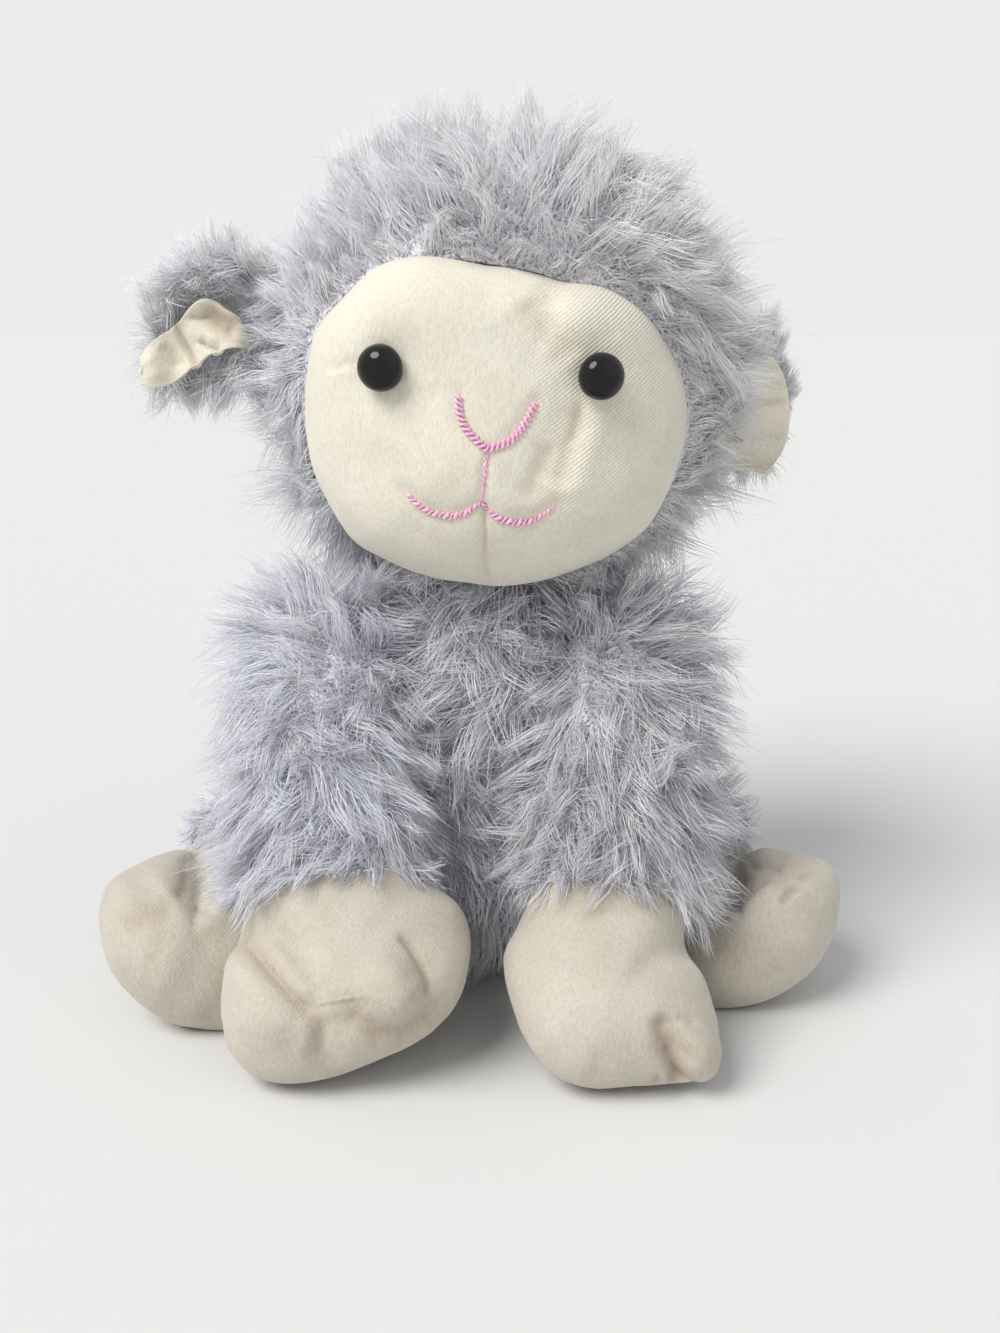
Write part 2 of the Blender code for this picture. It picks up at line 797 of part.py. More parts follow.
def make_washer(name, top, outward):
    """A sprung plastic ring, dished towards the panel, with slots between its teeth."""
    half = washer_thickness / 2.0
    dish = washer_dish_share * half
    profile = [
        (washer_bore, -dish),
        (washer_radius - half, 0.0),
        (washer_radius, -half),
        (washer_radius, -washer_thickness),
        (washer_radius - half, -washer_thickness - dish),
        (washer_bore, -washer_thickness),
        (washer_bore, -dish),
    ]
    washer = turned(f"{name}_eye_washer", profile, top, outward, washer_plastic)
    bm = bmesh.new()
    for i in range(washer_slots):
        turn = Matrix.Rotation(2.0 * math.pi * i / washer_slots, 4, "Z")
        made = bmesh.ops.create_cube(bm, size=1.0)
        for vert in made["verts"]:
            spread = Vector((
                (vert.co.x + 0.5) * washer_slot_reach + washer_bore - washer_slot_width,
                vert.co.y * washer_slot_width,
                vert.co.z * washer_radius,
            ))
            vert.co = turn @ spread
    cutter = place(f"{name}_washer_slots", mesh_of(bm, f"{name}_washer_slots", smooth=False), None)
    cutter.rotation_mode = "QUATERNION"
    cutter.rotation_quaternion = outward.to_track_quat("Z", "Y")
    cutter.location = top
    boolean(washer, cutter)


def make_head():
    neck = Vector((neck_x, neck_y, neck_height))
    hood = head_form("head_cover", fur_height, lilac_fur)
    boolean(hood, head_form("head_cavity", -fur_backing, None))
    window = face_window()
    boolean(hood, window)
    below = Vector((0.0, 0.0, neck_base_cut))
    boolean(hood, beyond_plane("below_hood", below, -up))
    hole = rod("neck_hole", neck, up, neck_reach_up * 2.0, neck_radius + seam_gap * 2.0, None, small_sides)
    boolean(hood, hole)
    panel = make_face_panel()
    filling = head_form("head_filling", -fur_backing - seam_gap, stuffing)
    plug = rod(
        "neck_room", neck, up, neck_reach_up + seam_gap, neck_radius + seam_gap * 2.0, None, small_sides
    )
    boolean(filling, window)
    boolean(filling, face_stuffing(), "UNION")
    boolean(filling, plug)
    for name, shares in eye_shares.items():
        seat, outward = make_eye(name, *shares)
        hole = rod(
            f"{name}_eye_hole", seat + outward * cut_overrun, -outward,
            2.0 * cut_overrun, rib_radius + seam_gap, None, small_sides,
        )
        boolean(panel, hole)
        pocket = rod(
            f"{name}_eye_pocket", seat + outward * cut_overrun, -outward,
            cut_overrun + shank_length + 2.0 * seam_gap,
            washer_radius + seam_gap, None, small_sides,
        )
        boolean(filling, pocket)


def face_stuffing():
    """The stuffing right behind the panel, which keeps its dome; it joins the head's own."""
    bm = bmesh.new()
    inset = plush_wall + seam_gap
    count = face_sides // 2
    tip = bm.verts.new(face_surface(face_x, face_z) - ahead * inset)
    rows = []
    for reach in face_stuffing_shares:
        row = []
        for i in range(count):
            x, z = face_edge(2.0 * math.pi * i / count, -inset)
            x, z = blend(face_x, x, reach), blend(face_z, z, reach)
            shares = (x - face_x) / face_half_width, (z - face_z) / face_half_height
            inward = -face_normal(*shares) * (inset * dome_slack_share)
            row.append(bm.verts.new(face_surface(x, z) + inward))
        rows.append(row)
    back = face_window_back + plush_wall
    rows.append([bm.verts.new((v.co.x, back, v.co.z)) for v in rows[-1]])
    for i in range(count):
        bm.faces.new((tip, rows[0][i], rows[0][(i + 1) % count]))
    for low, high in zip(rows, rows[1:]):
        for i in range(count):
            j = (i + 1) % count
            bm.faces.new((low[i], high[i], high[j], low[j]))
    bm.faces.new(rows[-1])
    return place("face_stuffing", mesh_of(bm, "face_stuffing"), None)


def make_embroidery():
    for name, shares, radius, finish in (
        ("nose_embroidery", nose_shares, nose_thread, light_thread),
        ("philtrum_embroidery", philtrum_shares, mouth_thread, light_thread),
        ("mouth_embroidery", mouth_shares, mouth_thread, deep_thread),
    ):
        points = []
        for share_x, share_z in shares:
            outward = face_normal(share_x, share_z)
            points.append(face_spot(share_x, share_z) + outward * (radius + thread_lift))
        thread(name, points, radius, finish)


# Neck, ears and tail

def make_neck():
    """A plug of stuffing: a ball in the body's neck opening and a stem up into the head."""
    centre = Vector((neck_x, neck_y, neck_height))
    profile = [(0.0, neck_reach_up), (neck_top_share * neck_radius, neck_reach_up)]
    profile.append((neck_radius, neck_bevel_share * neck_reach_up))
    for i in range(ball_rows):
        turn = math.pi / 2.0 * i / ball_rows
        profile.append((neck_radius * math.cos(turn), -neck_radius * math.sin(turn)))
    profile.append((0.0, -neck_radius))
    return turned("neck_filling", profile, centre, up, stuffing)


def hood_surface(y, z, sign):
    """The point of the hood's outer face at this depth and height."""
    dy = (y - head_y) / (head_half_depth + fur_height)
    dz = (z - head_z) / (head_half_height + fur_height)
    reach = (head_half_width + fur_height) * math.sqrt(1.0 - dy ** 2 - dz ** 2)
    point = Vector((head_x + sign * reach, y, z))
    lean = Vector((
        sign * reach / (head_half_width + fur_height) ** 2,
        dy / (head_half_depth + fur_height),
        dz / (head_half_height + fur_height),
    ))
    return point, lean.normalized()


def ear_path(name, sign):
    """Root, first heading and tip of an ear that leaves the head square and then droops."""
    root, way = hood_surface(ear_root[name]["y"], ear_root[name]["z"], sign)
    lean = math.radians(ear_lean_degrees[name])
    sweep = math.radians(ear_sweep_degrees[name])
    reach = Vector((
        sign * math.cos(lean) * math.cos(sweep),
        math.cos(lean) * math.sin(sweep),
        -math.sin(lean),
    ))
    return root, way, root + reach * ear_length


def ear_frame(name, sign, t):
    """Centre, width direction and facing of the ear at a share of its length."""
    root, way, tip = ear_path(name, sign)
    bend = root + way * (ear_bend_share * ear_length)
    centre = root * (1.0 - t) ** 2 + bend * (2.0 * t * (1.0 - t)) + tip * t ** 2
    out = ((bend - root) * (1.0 - t) + (tip - bend) * t).normalized()
    facing = (ahead - out * ahead.dot(out)).normalized()
    facing = Matrix.Rotation(math.radians(ear_twist_degrees[name]) * sign * t, 3, out) @ facing
    return centre, out.cross(facing).normalized(), facing


def ear_leaf(name, ear, sign, start, end, lift, wall, finish):
    """A cupped leaf: rows along its length, with its edges curled to the lining's side."""
    bm = bmesh.new()
    last = len(ear_width_shares) - 1
    grid = []
    for i, width in enumerate(ear_width_shares):
        row = []
        for column in ear_column_shares:
            t = start + (end - start) * (i / last - ear_tip_share * column ** 2 * (i / last) ** 3)
            centre, wide, facing = ear_frame(ear, sign, t)
            side = column * width * end
            cup = ear_cup * side ** 2
            row.append(bm.verts.new(centre + wide * (side * ear_half_width) + facing * (cup + lift)))
        grid.append(row)
    for low, high in zip(grid, grid[1:]):
        for j in range(len(ear_column_shares) - 1):
            bm.faces.new((low[j], low[j + 1], high[j + 1], high[j]))
    for face in bm.faces:
        face.smooth = True
    bm.normal_update()
    if sum(face.normal.dot(ahead) for face in bm.faces) < 0.0:
        bmesh.ops.reverse_faces(bm, faces=bm.faces)
    mesh = bpy.data.meshes.new(name)
    bm.to_mesh(mesh)
    bm.free()
    leaf = place(name, mesh, finish)
    thick = leaf.modifiers.new("cloth", "SOLIDIFY")
    thick.thickness = abs(wall)
    thick.offset = math.copysign(1.0, wall)
    return leaf


def make_ears():
    hood = bpy.data.objects["head_cover"]
    for name, sign in sides_of_toy.items():
        root, wide, facing = ear_frame(name, sign, 0.0)
        half = ear_root_length / 2.0
        middle = root - facing * ear_fur / 2.0
        cover = ear_leaf(f"{name}_ear_cover", name, sign, 0.0, 1.0, 0.0, -ear_fur, lilac_fur)
        bead = rod(
            f"{name}_ear_bead", middle - wide * half, wide, ear_root_length, ear_root_radius,
            None, small_sides,
        )
        boolean(cover, bead, "UNION")
        lining = ear_leaf(
            f"{name}_ear_lining", name, sign, ear_lining_from_share, ear_lining_to_share,
            seam_gap, ear_lining_wall, cream_plush,
        )
        room = rod(
            f"{name}_ear_socket", middle - wide * (half + joint_gap), wide,
            ear_root_length + 2.0 * joint_gap, ear_root_radius + joint_gap, None, small_sides,
        )
        boolean(hood, room)
        joint(f"{name}_ear_joint", middle, wide, [cover, lining])


def make_tail():
    root = Vector((0.0, tail_root_y, tail_root_z))
    lean = math.radians(tail_lean_degrees)
    way = Vector((0.0, math.cos(lean), -math.sin(lean)))
    start = root - way * tail_root_radius
    span = tail_length + tail_root_radius
    rings = []
    for t, wide in tail_shares:
        half = wide * tail_half_width
        spread = half, tail_flat_share * half
        rings.append(ring_at(start + way * (t * span), across, across.cross(way), *spread, leg_sides))
    cover = soft_form("tail_cover", rings, (start, start + way * span), 0.0, lilac_fur)
    joint("tail_joint", root, across, [cover])


def make_neck_joints():
    """The neck nods on the body, and the head with its ears turns on the neck."""
    centre = Vector((neck_x, neck_y, neck_height))
    neck = bpy.data.objects["neck_filling"]
    nod = joint("neck_nod_joint", centre, across, [neck])
    names = ["head_cover", "head_filling", "face_panel"]
    names += ["nose_embroidery", "philtrum_embroidery", "mouth_embroidery"]
    for name in sides_of_toy:
        names += [f"{name}_eye", f"{name}_eye_washer", f"{name}_ear_joint"]
    head = [bpy.data.objects[name] for name in names]
    turn = joint("neck_turn_joint", centre, up, head)
    turn.parent = nod
    turn.matrix_parent_inverse = nod.matrix_world.inverted()


clear_scene()
toy = new_collection("plush_sheep")
cutters = new_collection("cutters")
floor = block("floor_cut", (-cut_reach, -cut_reach, -cut_reach), (cut_reach, cut_reach, 0.0))
make_torso()
make_neck()
make_head()
make_embroidery()
make_ears()
make_front_legs()
make_hind_legs()
make_tail()
make_neck_joints()
print(f"Made {sum(obj.type != 'EMPTY' for obj in toy.objects)} pieces")
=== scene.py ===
import math
from contextlib import contextmanager

import bmesh
import bpy
import numpy as np
from mathutils import Matrix, Vector, kdtree
from mathutils.bvhtree import BVHTree


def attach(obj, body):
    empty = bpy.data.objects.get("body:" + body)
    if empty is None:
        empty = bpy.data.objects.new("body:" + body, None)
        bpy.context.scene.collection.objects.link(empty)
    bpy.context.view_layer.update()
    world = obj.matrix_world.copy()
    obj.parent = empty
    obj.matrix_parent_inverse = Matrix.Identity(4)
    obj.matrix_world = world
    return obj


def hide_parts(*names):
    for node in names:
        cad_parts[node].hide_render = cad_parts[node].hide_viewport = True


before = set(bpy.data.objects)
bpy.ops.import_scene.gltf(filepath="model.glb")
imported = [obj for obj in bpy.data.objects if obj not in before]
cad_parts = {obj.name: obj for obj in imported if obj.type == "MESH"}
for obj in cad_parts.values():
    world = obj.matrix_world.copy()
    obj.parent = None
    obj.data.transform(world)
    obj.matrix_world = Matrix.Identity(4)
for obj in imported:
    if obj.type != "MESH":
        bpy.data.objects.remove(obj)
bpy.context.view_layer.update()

# The photograph's camera. Creases, outlines and stitches below are placed by its pixels.
photo = {
    "place": (0.008, -0.445, 0.225), "pitchDegrees": 16.2, "focalPixels": 1500.0,
    "imageWidth": 1000, "imageHeight": 1333,
}
light = {
    "worldStrength": 0.56,
    "keyStrength": 2.60, "keyFrom": (-0.66, -0.56, 1.00), "keySpreadDegrees": 34.0,
    "fillStrength": 0.15, "fillFrom": (0.90, -0.60, 0.45), "fillSpreadDegrees": 60.0,
    "floorColour": (0.715, 0.715, 0.710), "backgroundColour": (0.84, 0.84, 0.84),
}
toySides = {"left": 1.0, "right": -1.0}
floorGap = 0.0005  # how far the feet's cloth stays above the floor
skinGap = 0.0006   # the same for the skins under the fur


# Pixels and rays

def vec(*parts):
    return np.array(parts, float)


pitch = math.radians(photo["pitchDegrees"])
focal = photo["focalPixels"]
rightward, upward = vec(1, 0, 0), vec(0, math.sin(pitch), math.cos(pitch))
forward = vec(0, math.cos(pitch), -math.sin(pitch))
eyePoint = vec(*photo["place"])
middlePixel = vec(photo["imageWidth"] / 2, photo["imageHeight"] / 2)


def pixelsOf(points):
    away = points - eyePoint
    depth = away @ forward
    spread = np.stack([focal * (away @ rightward) / depth, -focal * (away @ upward) / depth], 1)
    return middlePixel + spread, depth


def rayThrough(pixel):
    across, rise = (pixel[0] - middlePixel[0]) / focal, (middlePixel[1] - pixel[1]) / focal
    return forward + across * rightward + rise * upward


def pixelAtDepth(pixel, y):  # the point of the pixel's ray in the plane of this y
    ray = rayThrough(pixel)
    return eyePoint + ray * ((y - eyePoint[1]) / ray[1])


def nearLine(pixels, line):
    # least distance to a polyline, how far along it that lies, and its side: 1 on the right of the way
    line = np.array(line, float)
    best, place, side = np.full(len(pixels), 1e9), np.zeros(len(pixels)), np.zeros(len(pixels))
    for i, (a, b) in enumerate(zip(line, line[1:])):
        span, away = b - a, pixels - a
        t = np.clip((away @ span) / max(span @ span, 1e-9), 0, 1)
        gap = np.linalg.norm(away - t[:, None] * span, axis=1)
        closer = gap < best
        side = np.where(closer, np.sign(span[0] * away[:, 1] - span[1] * away[:, 0]), side)
        place = np.where(closer, (i + t) / (len(line) - 1), place)
        best = np.where(closer, gap, best)
    return best, place, side


# Meshes

def meshPiece(name, points, faces, smooth=True):
    mesh = bpy.data.meshes.new(name)
    mesh.from_pydata([tuple(p) for p in points], [], [tuple(f) for f in faces])
    mesh.polygons.foreach_set("use_smooth", [smooth] * len(mesh.polygons))
    mesh.update()
    return shown(name, mesh)


def shown(name, data):
    piece = bpy.data.objects.new(name, data)
    bpy.context.scene.collection.objects.link(piece)
    return piece


def valuesOf(items, what):
    values = np.zeros(len(items) * 3, np.float32)
    items.foreach_get(what, values)
    return values.reshape(-1, 3).astype(float)


def pointsOf(piece):
    return valuesOf(piece.data.vertices, "co")


def normalsOf(piece):
    return valuesOf(piece.data.vertex_normals, "vector")


def facesOf(piece):
    return [tuple(f.vertices) for f in piece.data.polygons]


def movePoints(piece, points):
    piece.data.vertices.foreach_set("co", points.astype(np.float32).ravel())
    piece.data.update()


def pushOut(piece, amount):  # moves the points along their normals
    movePoints(piece, pointsOf(piece) + normalsOf(piece) * np.reshape(amount, (-1, 1)))


def keepAbove(piece, low):
    points = pointsOf(piece)
    points[:, 2] = np.maximum(points[:, 2], low)
    movePoints(piece, points)


def applyModifiers(piece):
    bpy.context.view_layer.update()
    graph = bpy.context.evaluated_depsgraph_get()
    mesh = bpy.data.meshes.new_from_object(piece.evaluated_get(graph), depsgraph=graph)
    old = piece.data
    piece.modifiers.clear()
    piece.data = mesh
    bpy.data.meshes.remove(old)
    mesh.name = piece.name
    return piece


def modified(piece, kind, **values):
    step = piece.modifiers.new("step", kind)
    for name, value in values.items():
        setattr(step, name, value)
    return applyModifiers(piece)


def subdivided(piece, levels):
    return modified(piece, "SUBSURF", levels=levels, render_levels=levels)


def thickened(piece, wall):  # adds the cloth's thickness on the inner side
    return modified(piece, "SOLIDIFY", thickness=wall, offset=-1.0, use_even_offset=False)


def evened(piece, times):
    return modified(piece, "SMOOTH", factor=0.5, iterations=times)


@contextmanager
def reworked(piece):
    work = bmesh.new()
    work.from_mesh(piece.data)
    yield work
    work.to_mesh(piece.data)
    work.free()


def merged(piece, gap=1e-5):
    with reworked(piece) as work:
        bmesh.ops.remove_doubles(work, verts=work.verts, dist=gap)
    return piece


def gridFaces(rows, count, start=0, closed=True, upFirst=True):  # quads between rows of points
    faces = []
    for low in range(start, start + (rows - 1) * count, count):
        for i in range(count if closed else count - 1):
            j = (i + 1) % count
            a, b, c, d = low + i, low + count + i, low + count + j, low + j
            faces.append((a, b, c, d) if upFirst else (a, d, c, b))
    return faces


def ring(centre, aside, lift, wide, deep, sides):
    turns = [2 * math.pi * i / sides for i in range(sides)]
    return [centre + aside * (wide * math.cos(turn)) + lift * (deep * math.sin(turn)) for turn in turns]


def ringForm(name, rings, poles, levels, grow=0.0):  # a closed form through rings of points
    count = len(rings[0])
    points = [p for loop in rings for p in loop] + [poles[0], poles[1]]
    faces = gridFaces(len(rings), count, upFirst=False)
    bottom, top, last = len(points) - 2, len(points) - 1, (len(rings) - 1) * count
    for i in range(count):
        j = (i + 1) % count
        faces += [(bottom, j, i), (top, last + i, last + j)]
    piece = meshPiece(name, points, faces)
    with reworked(piece) as work:
        bmesh.ops.recalc_face_normals(work, faces=work.faces)
        work.normal_update()
        for vert, spot in [(vert, vert.co + vert.normal * grow) for vert in work.verts]:
            vert.co = spot
    return subdivided(piece, levels)


def cageSwell(count):  # undoes how one subdivision draws a ring inward
    return 1.0 / (0.75 + 0.25 * math.cos(2.0 * math.pi / count))


def wander(points, scale, seed):  # smooth noise from about -1 to 1
    chance = np.random.default_rng(seed)
    waves = chance.normal(size=(7, 3)) / scale
    phases = chance.uniform(0, 2 * math.pi, 7)
    return np.sin(points @ waves.T + phases).sum(1) / 2.6


def ease(value, low, high):  # 0 below low, 1 above high, smooth between
    t = np.clip((value - low) / (high - low), 0, 1)
    return t * t * (3 - 2 * t)


def unit(vectors):
    return vectors / np.maximum(np.linalg.norm(vectors, axis=-1, keepdims=True), 1e-12)


def smoothPath(points, t):
    last = len(points) - 1
    i = min(int(t), last - 1)
    share = t - i
    here, there = points[i], points[i + 1]
    before = points[i - 1] if i > 0 else 2 * here - there
    after = points[i + 2] if i + 2 <= last else 2 * there - here
    return 0.5 * (
        2 * here + (there - before) * share
        + (2 * before - 5 * here + 4 * there - after) * share ** 2
        + (3 * here - before - 3 * there + after) * share ** 3
    )


def pathWay(path, t, span):
    return unit(smoothPath(path, min(t + span, 3)) - smoothPath(path, max(t - span, 0)))


def skinTree(*pieces):
    return [BVHTree.FromPolygons([tuple(p) for p in pointsOf(piece)], facesOf(piece)) for piece in pieces]


def stroke(line, width, depth, step=0.0, taper=True):
    # a crease, dimple or lump along a line of pixels; with a step, the bank on the right of the way is higher
    return {"line": line, "width": width, "depth": depth, "step": step, "taper": taper and len(line) > 2}


# painted shade in the cloth's folds: how deep a crease must be to take its full painted shade, the most
# painted shade, and how far a point must face the camera before strokes press and shade it
creaseShadePaint = {"fullDepth": 0.0044, "most": 0.55, "facing": 0.05}


def pressStrokes(piece, strokes):  # where the camera sees the piece
    points, normals = pointsOf(piece), normalsOf(piece)
    # painted shade: each crease, dimple and fold also darkens the cloth's colour, kept in the crease
    # attribute
    paintedShade = np.zeros(len(points))
    for mark in strokes:
        pixels, depth = pixelsOf(points)
        towards = ((eyePoint - points) * normals).sum(1) / np.linalg.norm(eyePoint - points, axis=1)
        gap, place, side = nearLine(pixels, mark["line"])
        taper = ease(np.minimum(place, 1 - place), -0.02, 0.22) if mark["taper"] else 1.0
        seen = ease(towards, creaseShadePaint["facing"], creaseShadePaint["facing"] + 0.2)
        width = mark["width"]
        shape = np.exp(-(gap / width) ** 2) * mark["depth"]
        shade = np.clip(shape / creaseShadePaint["fullDepth"], 0, creaseShadePaint["most"])
        paintedShade = np.maximum(paintedShade, shade * taper * seen)
        if mark["step"]:
            bank = side * gap / width
            shape = shape - mark["step"] * bank * np.exp(-(gap / (2.4 * width)) ** 2)
        push = -shape * taper * seen
        points = points + normals * push[:, None]
    movePoints(piece, points)
    crease = piece.data.attributes.new("crease", "FLOAT", "POINT")
    crease.data.foreach_set("value", paintedShade.astype(np.float32))


# Materials

def newNode(tree, kind, inputs=None, **values):
    made = tree.nodes.new(kind if kind.startswith("Node") else f"ShaderNode{kind}")
    for name, value in values.items():
        setattr(made, name, value)
    for socket, value in (inputs or {}).items():
        made.inputs[socket].default_value = value
    return made


def wired(tree, *wires):  # each wire: a node, its output, the next node, its input
    for source, output, target, socket in wires:
        tree.links.new(source.outputs[output], target.inputs[socket])


def newGroup(name, inputs, outputs):
    group = bpy.data.node_groups.new(name, "ShaderNodeTree")
    for socket, value in inputs.items():
        made = group.interface.new_socket(name=socket, in_out="INPUT", socket_type="NodeSocketFloat")
        made.default_value = value
    for socket in outputs:
        group.interface.new_socket(name=socket, in_out="OUTPUT", socket_type="NodeSocketFloat")
    start, end = newNode(group, "NodeGroupInput"), newNode(group, "NodeGroupOutput")
    return group, start, end, newNode(group, "TexCoord")


def knitSpeckleGroup():
    # knitted cloth under fur: light and dark specks between its loops
    group, start, end, place = newGroup("knitSpeckle", {"Scale": 900.0}, ("Speck", "Height"))
    loops = newNode(group, "TexVoronoi", feature="F1")
    specks = newNode(group, "TexNoise", {"Detail": 3.0})
    ramp = colourRamp(group, [(0.38, (0.0,) * 3), (0.62, (1.0,) * 3)])
    wired(group, (place, "Object", loops, "Vector"), (place, "Object", specks, "Vector"),
          (start, "Scale", loops, "Scale"), (start, "Scale", specks, "Scale"),
          (specks, "Fac", ramp, "Fac"), (ramp, "Color", end, "Speck"), (loops, "Distance", end, "Height"))
    return group


def plushNapGroup():
    # short brushed pile: fine nap, soft mottling where the pile leans, and the ribs of the cloth
    group, start, end, place = newGroup(
        "plushNap", {"Nap Scale": 1500.0, "Mottle Scale": 60.0, "Rib Scale": 220.0, "Rib Amount": 0.3},
        ("Mottle", "Nap", "Height"))
    lean = newNode(group, "Mapping", {"Rotation": (0.0, math.radians(-32.0), 0.0), "Scale": (1.0, 1.0, 0.36)})
    nap = newNode(group, "TexNoise", {"Detail": 3.0, "Roughness": 0.62})
    mottle = newNode(group, "TexNoise", {"Detail": 3.0})
    turn = newNode(group, "Mapping", {"Rotation": (0.0, math.radians(-52.0), 0.0)})
    ribs = newNode(group, "TexWave", {"Distortion": 1.2, "Detail": 1.0, "Detail Scale": 0.6},
                   wave_type="BANDS", bands_direction="X")
    ribAmount = newNode(group, "Math", operation="MULTIPLY")
    total = newNode(group, "Math", operation="ADD")
    wired(group, (place, "Object", lean, "Vector"), (lean, "Vector", nap, "Vector"),
          (place, "Object", mottle, "Vector"), (place, "Object", turn, "Vector"),
          (turn, "Vector", ribs, "Vector"),
          (start, "Nap Scale", nap, "Scale"), (start, "Mottle Scale", mottle, "Scale"),
          (start, "Rib Scale", ribs, "Scale"), (ribs, "Fac", ribAmount, 0),
          (start, "Rib Amount", ribAmount, 1),
          (nap, "Fac", total, 0), (ribAmount, 0, total, 1),
          (mottle, "Fac", end, "Mottle"), (nap, "Fac", end, "Nap"), (total, 0, end, "Height"))
    return group


def newMaterial(name, roughness, specular, **more):
    made = bpy.data.materials.new(name)
    made.use_nodes = True
    shader = made.node_tree.nodes["Principled BSDF"]
    shader.inputs["Roughness"].default_value = roughness
    shader.inputs["Specular IOR Level"].default_value = specular
    for name, value in more.items():
        shader.inputs[name.replace("_", " ")].default_value = value
    return made, made.node_tree, shader


def colourRamp(tree, stops):
    ramp = newNode(tree, "ValToRGB")
    parts = ramp.color_ramp.elements
    while len(parts) < len(stops):
        parts.new(0.5)
    for part, (position, colour) in zip(parts, stops):
        part.position = position
        part.color = (*colour, 1.0)
    return ramp


def bumpOn(tree, shader, source, output, strength, distance):
    bump = newNode(tree, "Bump", {"Strength": strength, "Distance": distance})
    wired(tree, (source, output, bump, "Height"), (bump, "Normal", shader, "Normal"))


def multiplied(tree, first, second):  # each a node and its output
    blend = newNode(tree, "Mix", {0: 1.0}, data_type="RGBA", blend_type="MULTIPLY")
    wired(tree, (*first, blend, 6), (*second, blend, 7))
    return blend


furTones = {
    "coolDark": (0.610, 0.625, 0.760), "coolMiddle": (0.835, 0.852, 0.968),
    "coolLight": (0.985, 0.988, 1.000),
    "warmDark": (0.640, 0.615, 0.625), "warmMiddle": (0.875, 0.850, 0.860),
    "warmLight": (0.995, 0.985, 0.985),
    "rootShade": 0.93,
}
# the warm dark colour painted into the cloth's folds as shade
creaseShadeColour = (0.70, 0.58, 0.50)


def furMaterial():
    # a strand's UV strip holds its tone across and root to tip upward
    made, tree, shader = newMaterial("lilacFur", 0.40, 0.6, Sheen_Weight=0.8)
    strip = newNode(tree, "UVMap", uv_map="OFBake")
    split = newNode(tree, "SeparateXYZ")
    places = {"coolDark": 0.0, "coolMiddle": 0.25, "coolLight": 0.49, "warmDark": 0.51, "warmMiddle": 0.75,
              "warmLight": 1.0}
    tones = colourRamp(tree, [(place, furTones[tone]) for tone, place in places.items()])
    fade = colourRamp(tree, [(0.0, (furTones["rootShade"],) * 3), (0.40, (1.0,) * 3), (1.0, (1.0,) * 3)])
    blend = multiplied(tree, (tones, "Color"), (fade, "Color"))
    wired(tree, (strip, "UV", split, "Vector"), (split, "X", tones, "Fac"), (split, "Y", fade, "Fac"),
          (blend, 2, shader, "Base Color"))
    return made


def backingMaterial(speckle):
    made, tree, shader = newMaterial("knitBacking", 0.85, 0.2)
    group = newNode(tree, "Group", node_tree=speckle)
    group.inputs["Scale"].default_value = 1100.0
    stops = [(0.0, (0.27, 0.27, 0.32)), (0.34, (0.68, 0.68, 0.75)), (1.0, (0.86, 0.86, 0.92))]
    tones = colourRamp(tree, stops)
    wired(tree, (group, "Speck", tones, "Fac"), (tones, "Color", shader, "Base Color"))
    bumpOn(tree, shader, group, "Height", 0.6, 0.0006)
    return made


def plushMaterial(name, nap, pale, shade, ribAmount, napScale=1500.0, ribSide=None):
    made, tree, shader = newMaterial(name, 0.92, 0.15, Sheen_Weight=0.25, Sheen_Roughness=0.5)
    group = newNode(tree, "Group", node_tree=nap)
    for socket, value in (("Nap Scale", napScale), ("Rib Amount", ribAmount), ("Rib Scale", 340.0)):
        group.inputs[socket].default_value = value
    if ribSide:  # the ribs show only toward one side
        place, parts = newNode(tree, "TexCoord"), newNode(tree, "SeparateXYZ")
        fade = newNode(tree, "MapRange", {"From Min": ribSide[0], "From Max": ribSide[1], "To Min": 0.06,
                                          "To Max": ribAmount}, interpolation_type="SMOOTHSTEP")
        wired(tree, (place, "Object", parts, "Vector"), (parts, "X", fade, "Value"),
              (fade, "Result", group, "Rib Amount"))
    mottling = colourRamp(tree, [(0.30, shade), (0.62, pale)])
    grain = colourRamp(tree, [(0.32, (0.88, 0.87, 0.84)), (0.58, (1.0, 1.0, 1.0))])
    blend = multiplied(tree, (mottling, "Color"), (grain, "Color"))
    # painted shade: the crease attribute draws the cloth's colour toward the crease shade colour in folds and
    # dimples
    creaseShadeMask = newNode(tree, "Attribute", attribute_name="crease")
    warm = newNode(tree, "Mix", {7: (*creaseShadeColour, 1.0)}, data_type="RGBA", blend_type="MULTIPLY")
    wired(tree, (group, "Mottle", mottling, "Fac"), (group, "Nap", grain, "Fac"), (creaseShadeMask, "Fac", warm, 0),
          (blend, 2, warm, 6), (warm, 2, shader, "Base Color"))
    bumpOn(tree, shader, group, "Height", 0.45, 0.0005)
    return made


def grainMaterial(name, dark, pale, scale, roughness, bump, specular=0.3, detail=4.0, spread=0.15, **more):
    # two tones mixed by fine noise, which also raises the surface
    made, tree, shader = newMaterial(name, roughness, specular, **more)
    place = newNode(tree, "TexCoord")
    grain = newNode(tree, "TexNoise", {"Scale": scale, "Detail": detail})
    tones = colourRamp(tree, [(0.5 - spread, dark), (0.5 + spread, pale)])
    wired(tree, (place, "Object", grain, "Vector"), (grain, "Fac", tones, "Fac"),
          (tones, "Color", shader, "Base Color"))
    if bump:
        bumpOn(tree, shader, grain, "Fac", *bump)
    return made


def grey(value, blue=0.0):
    return value, value, value + blue


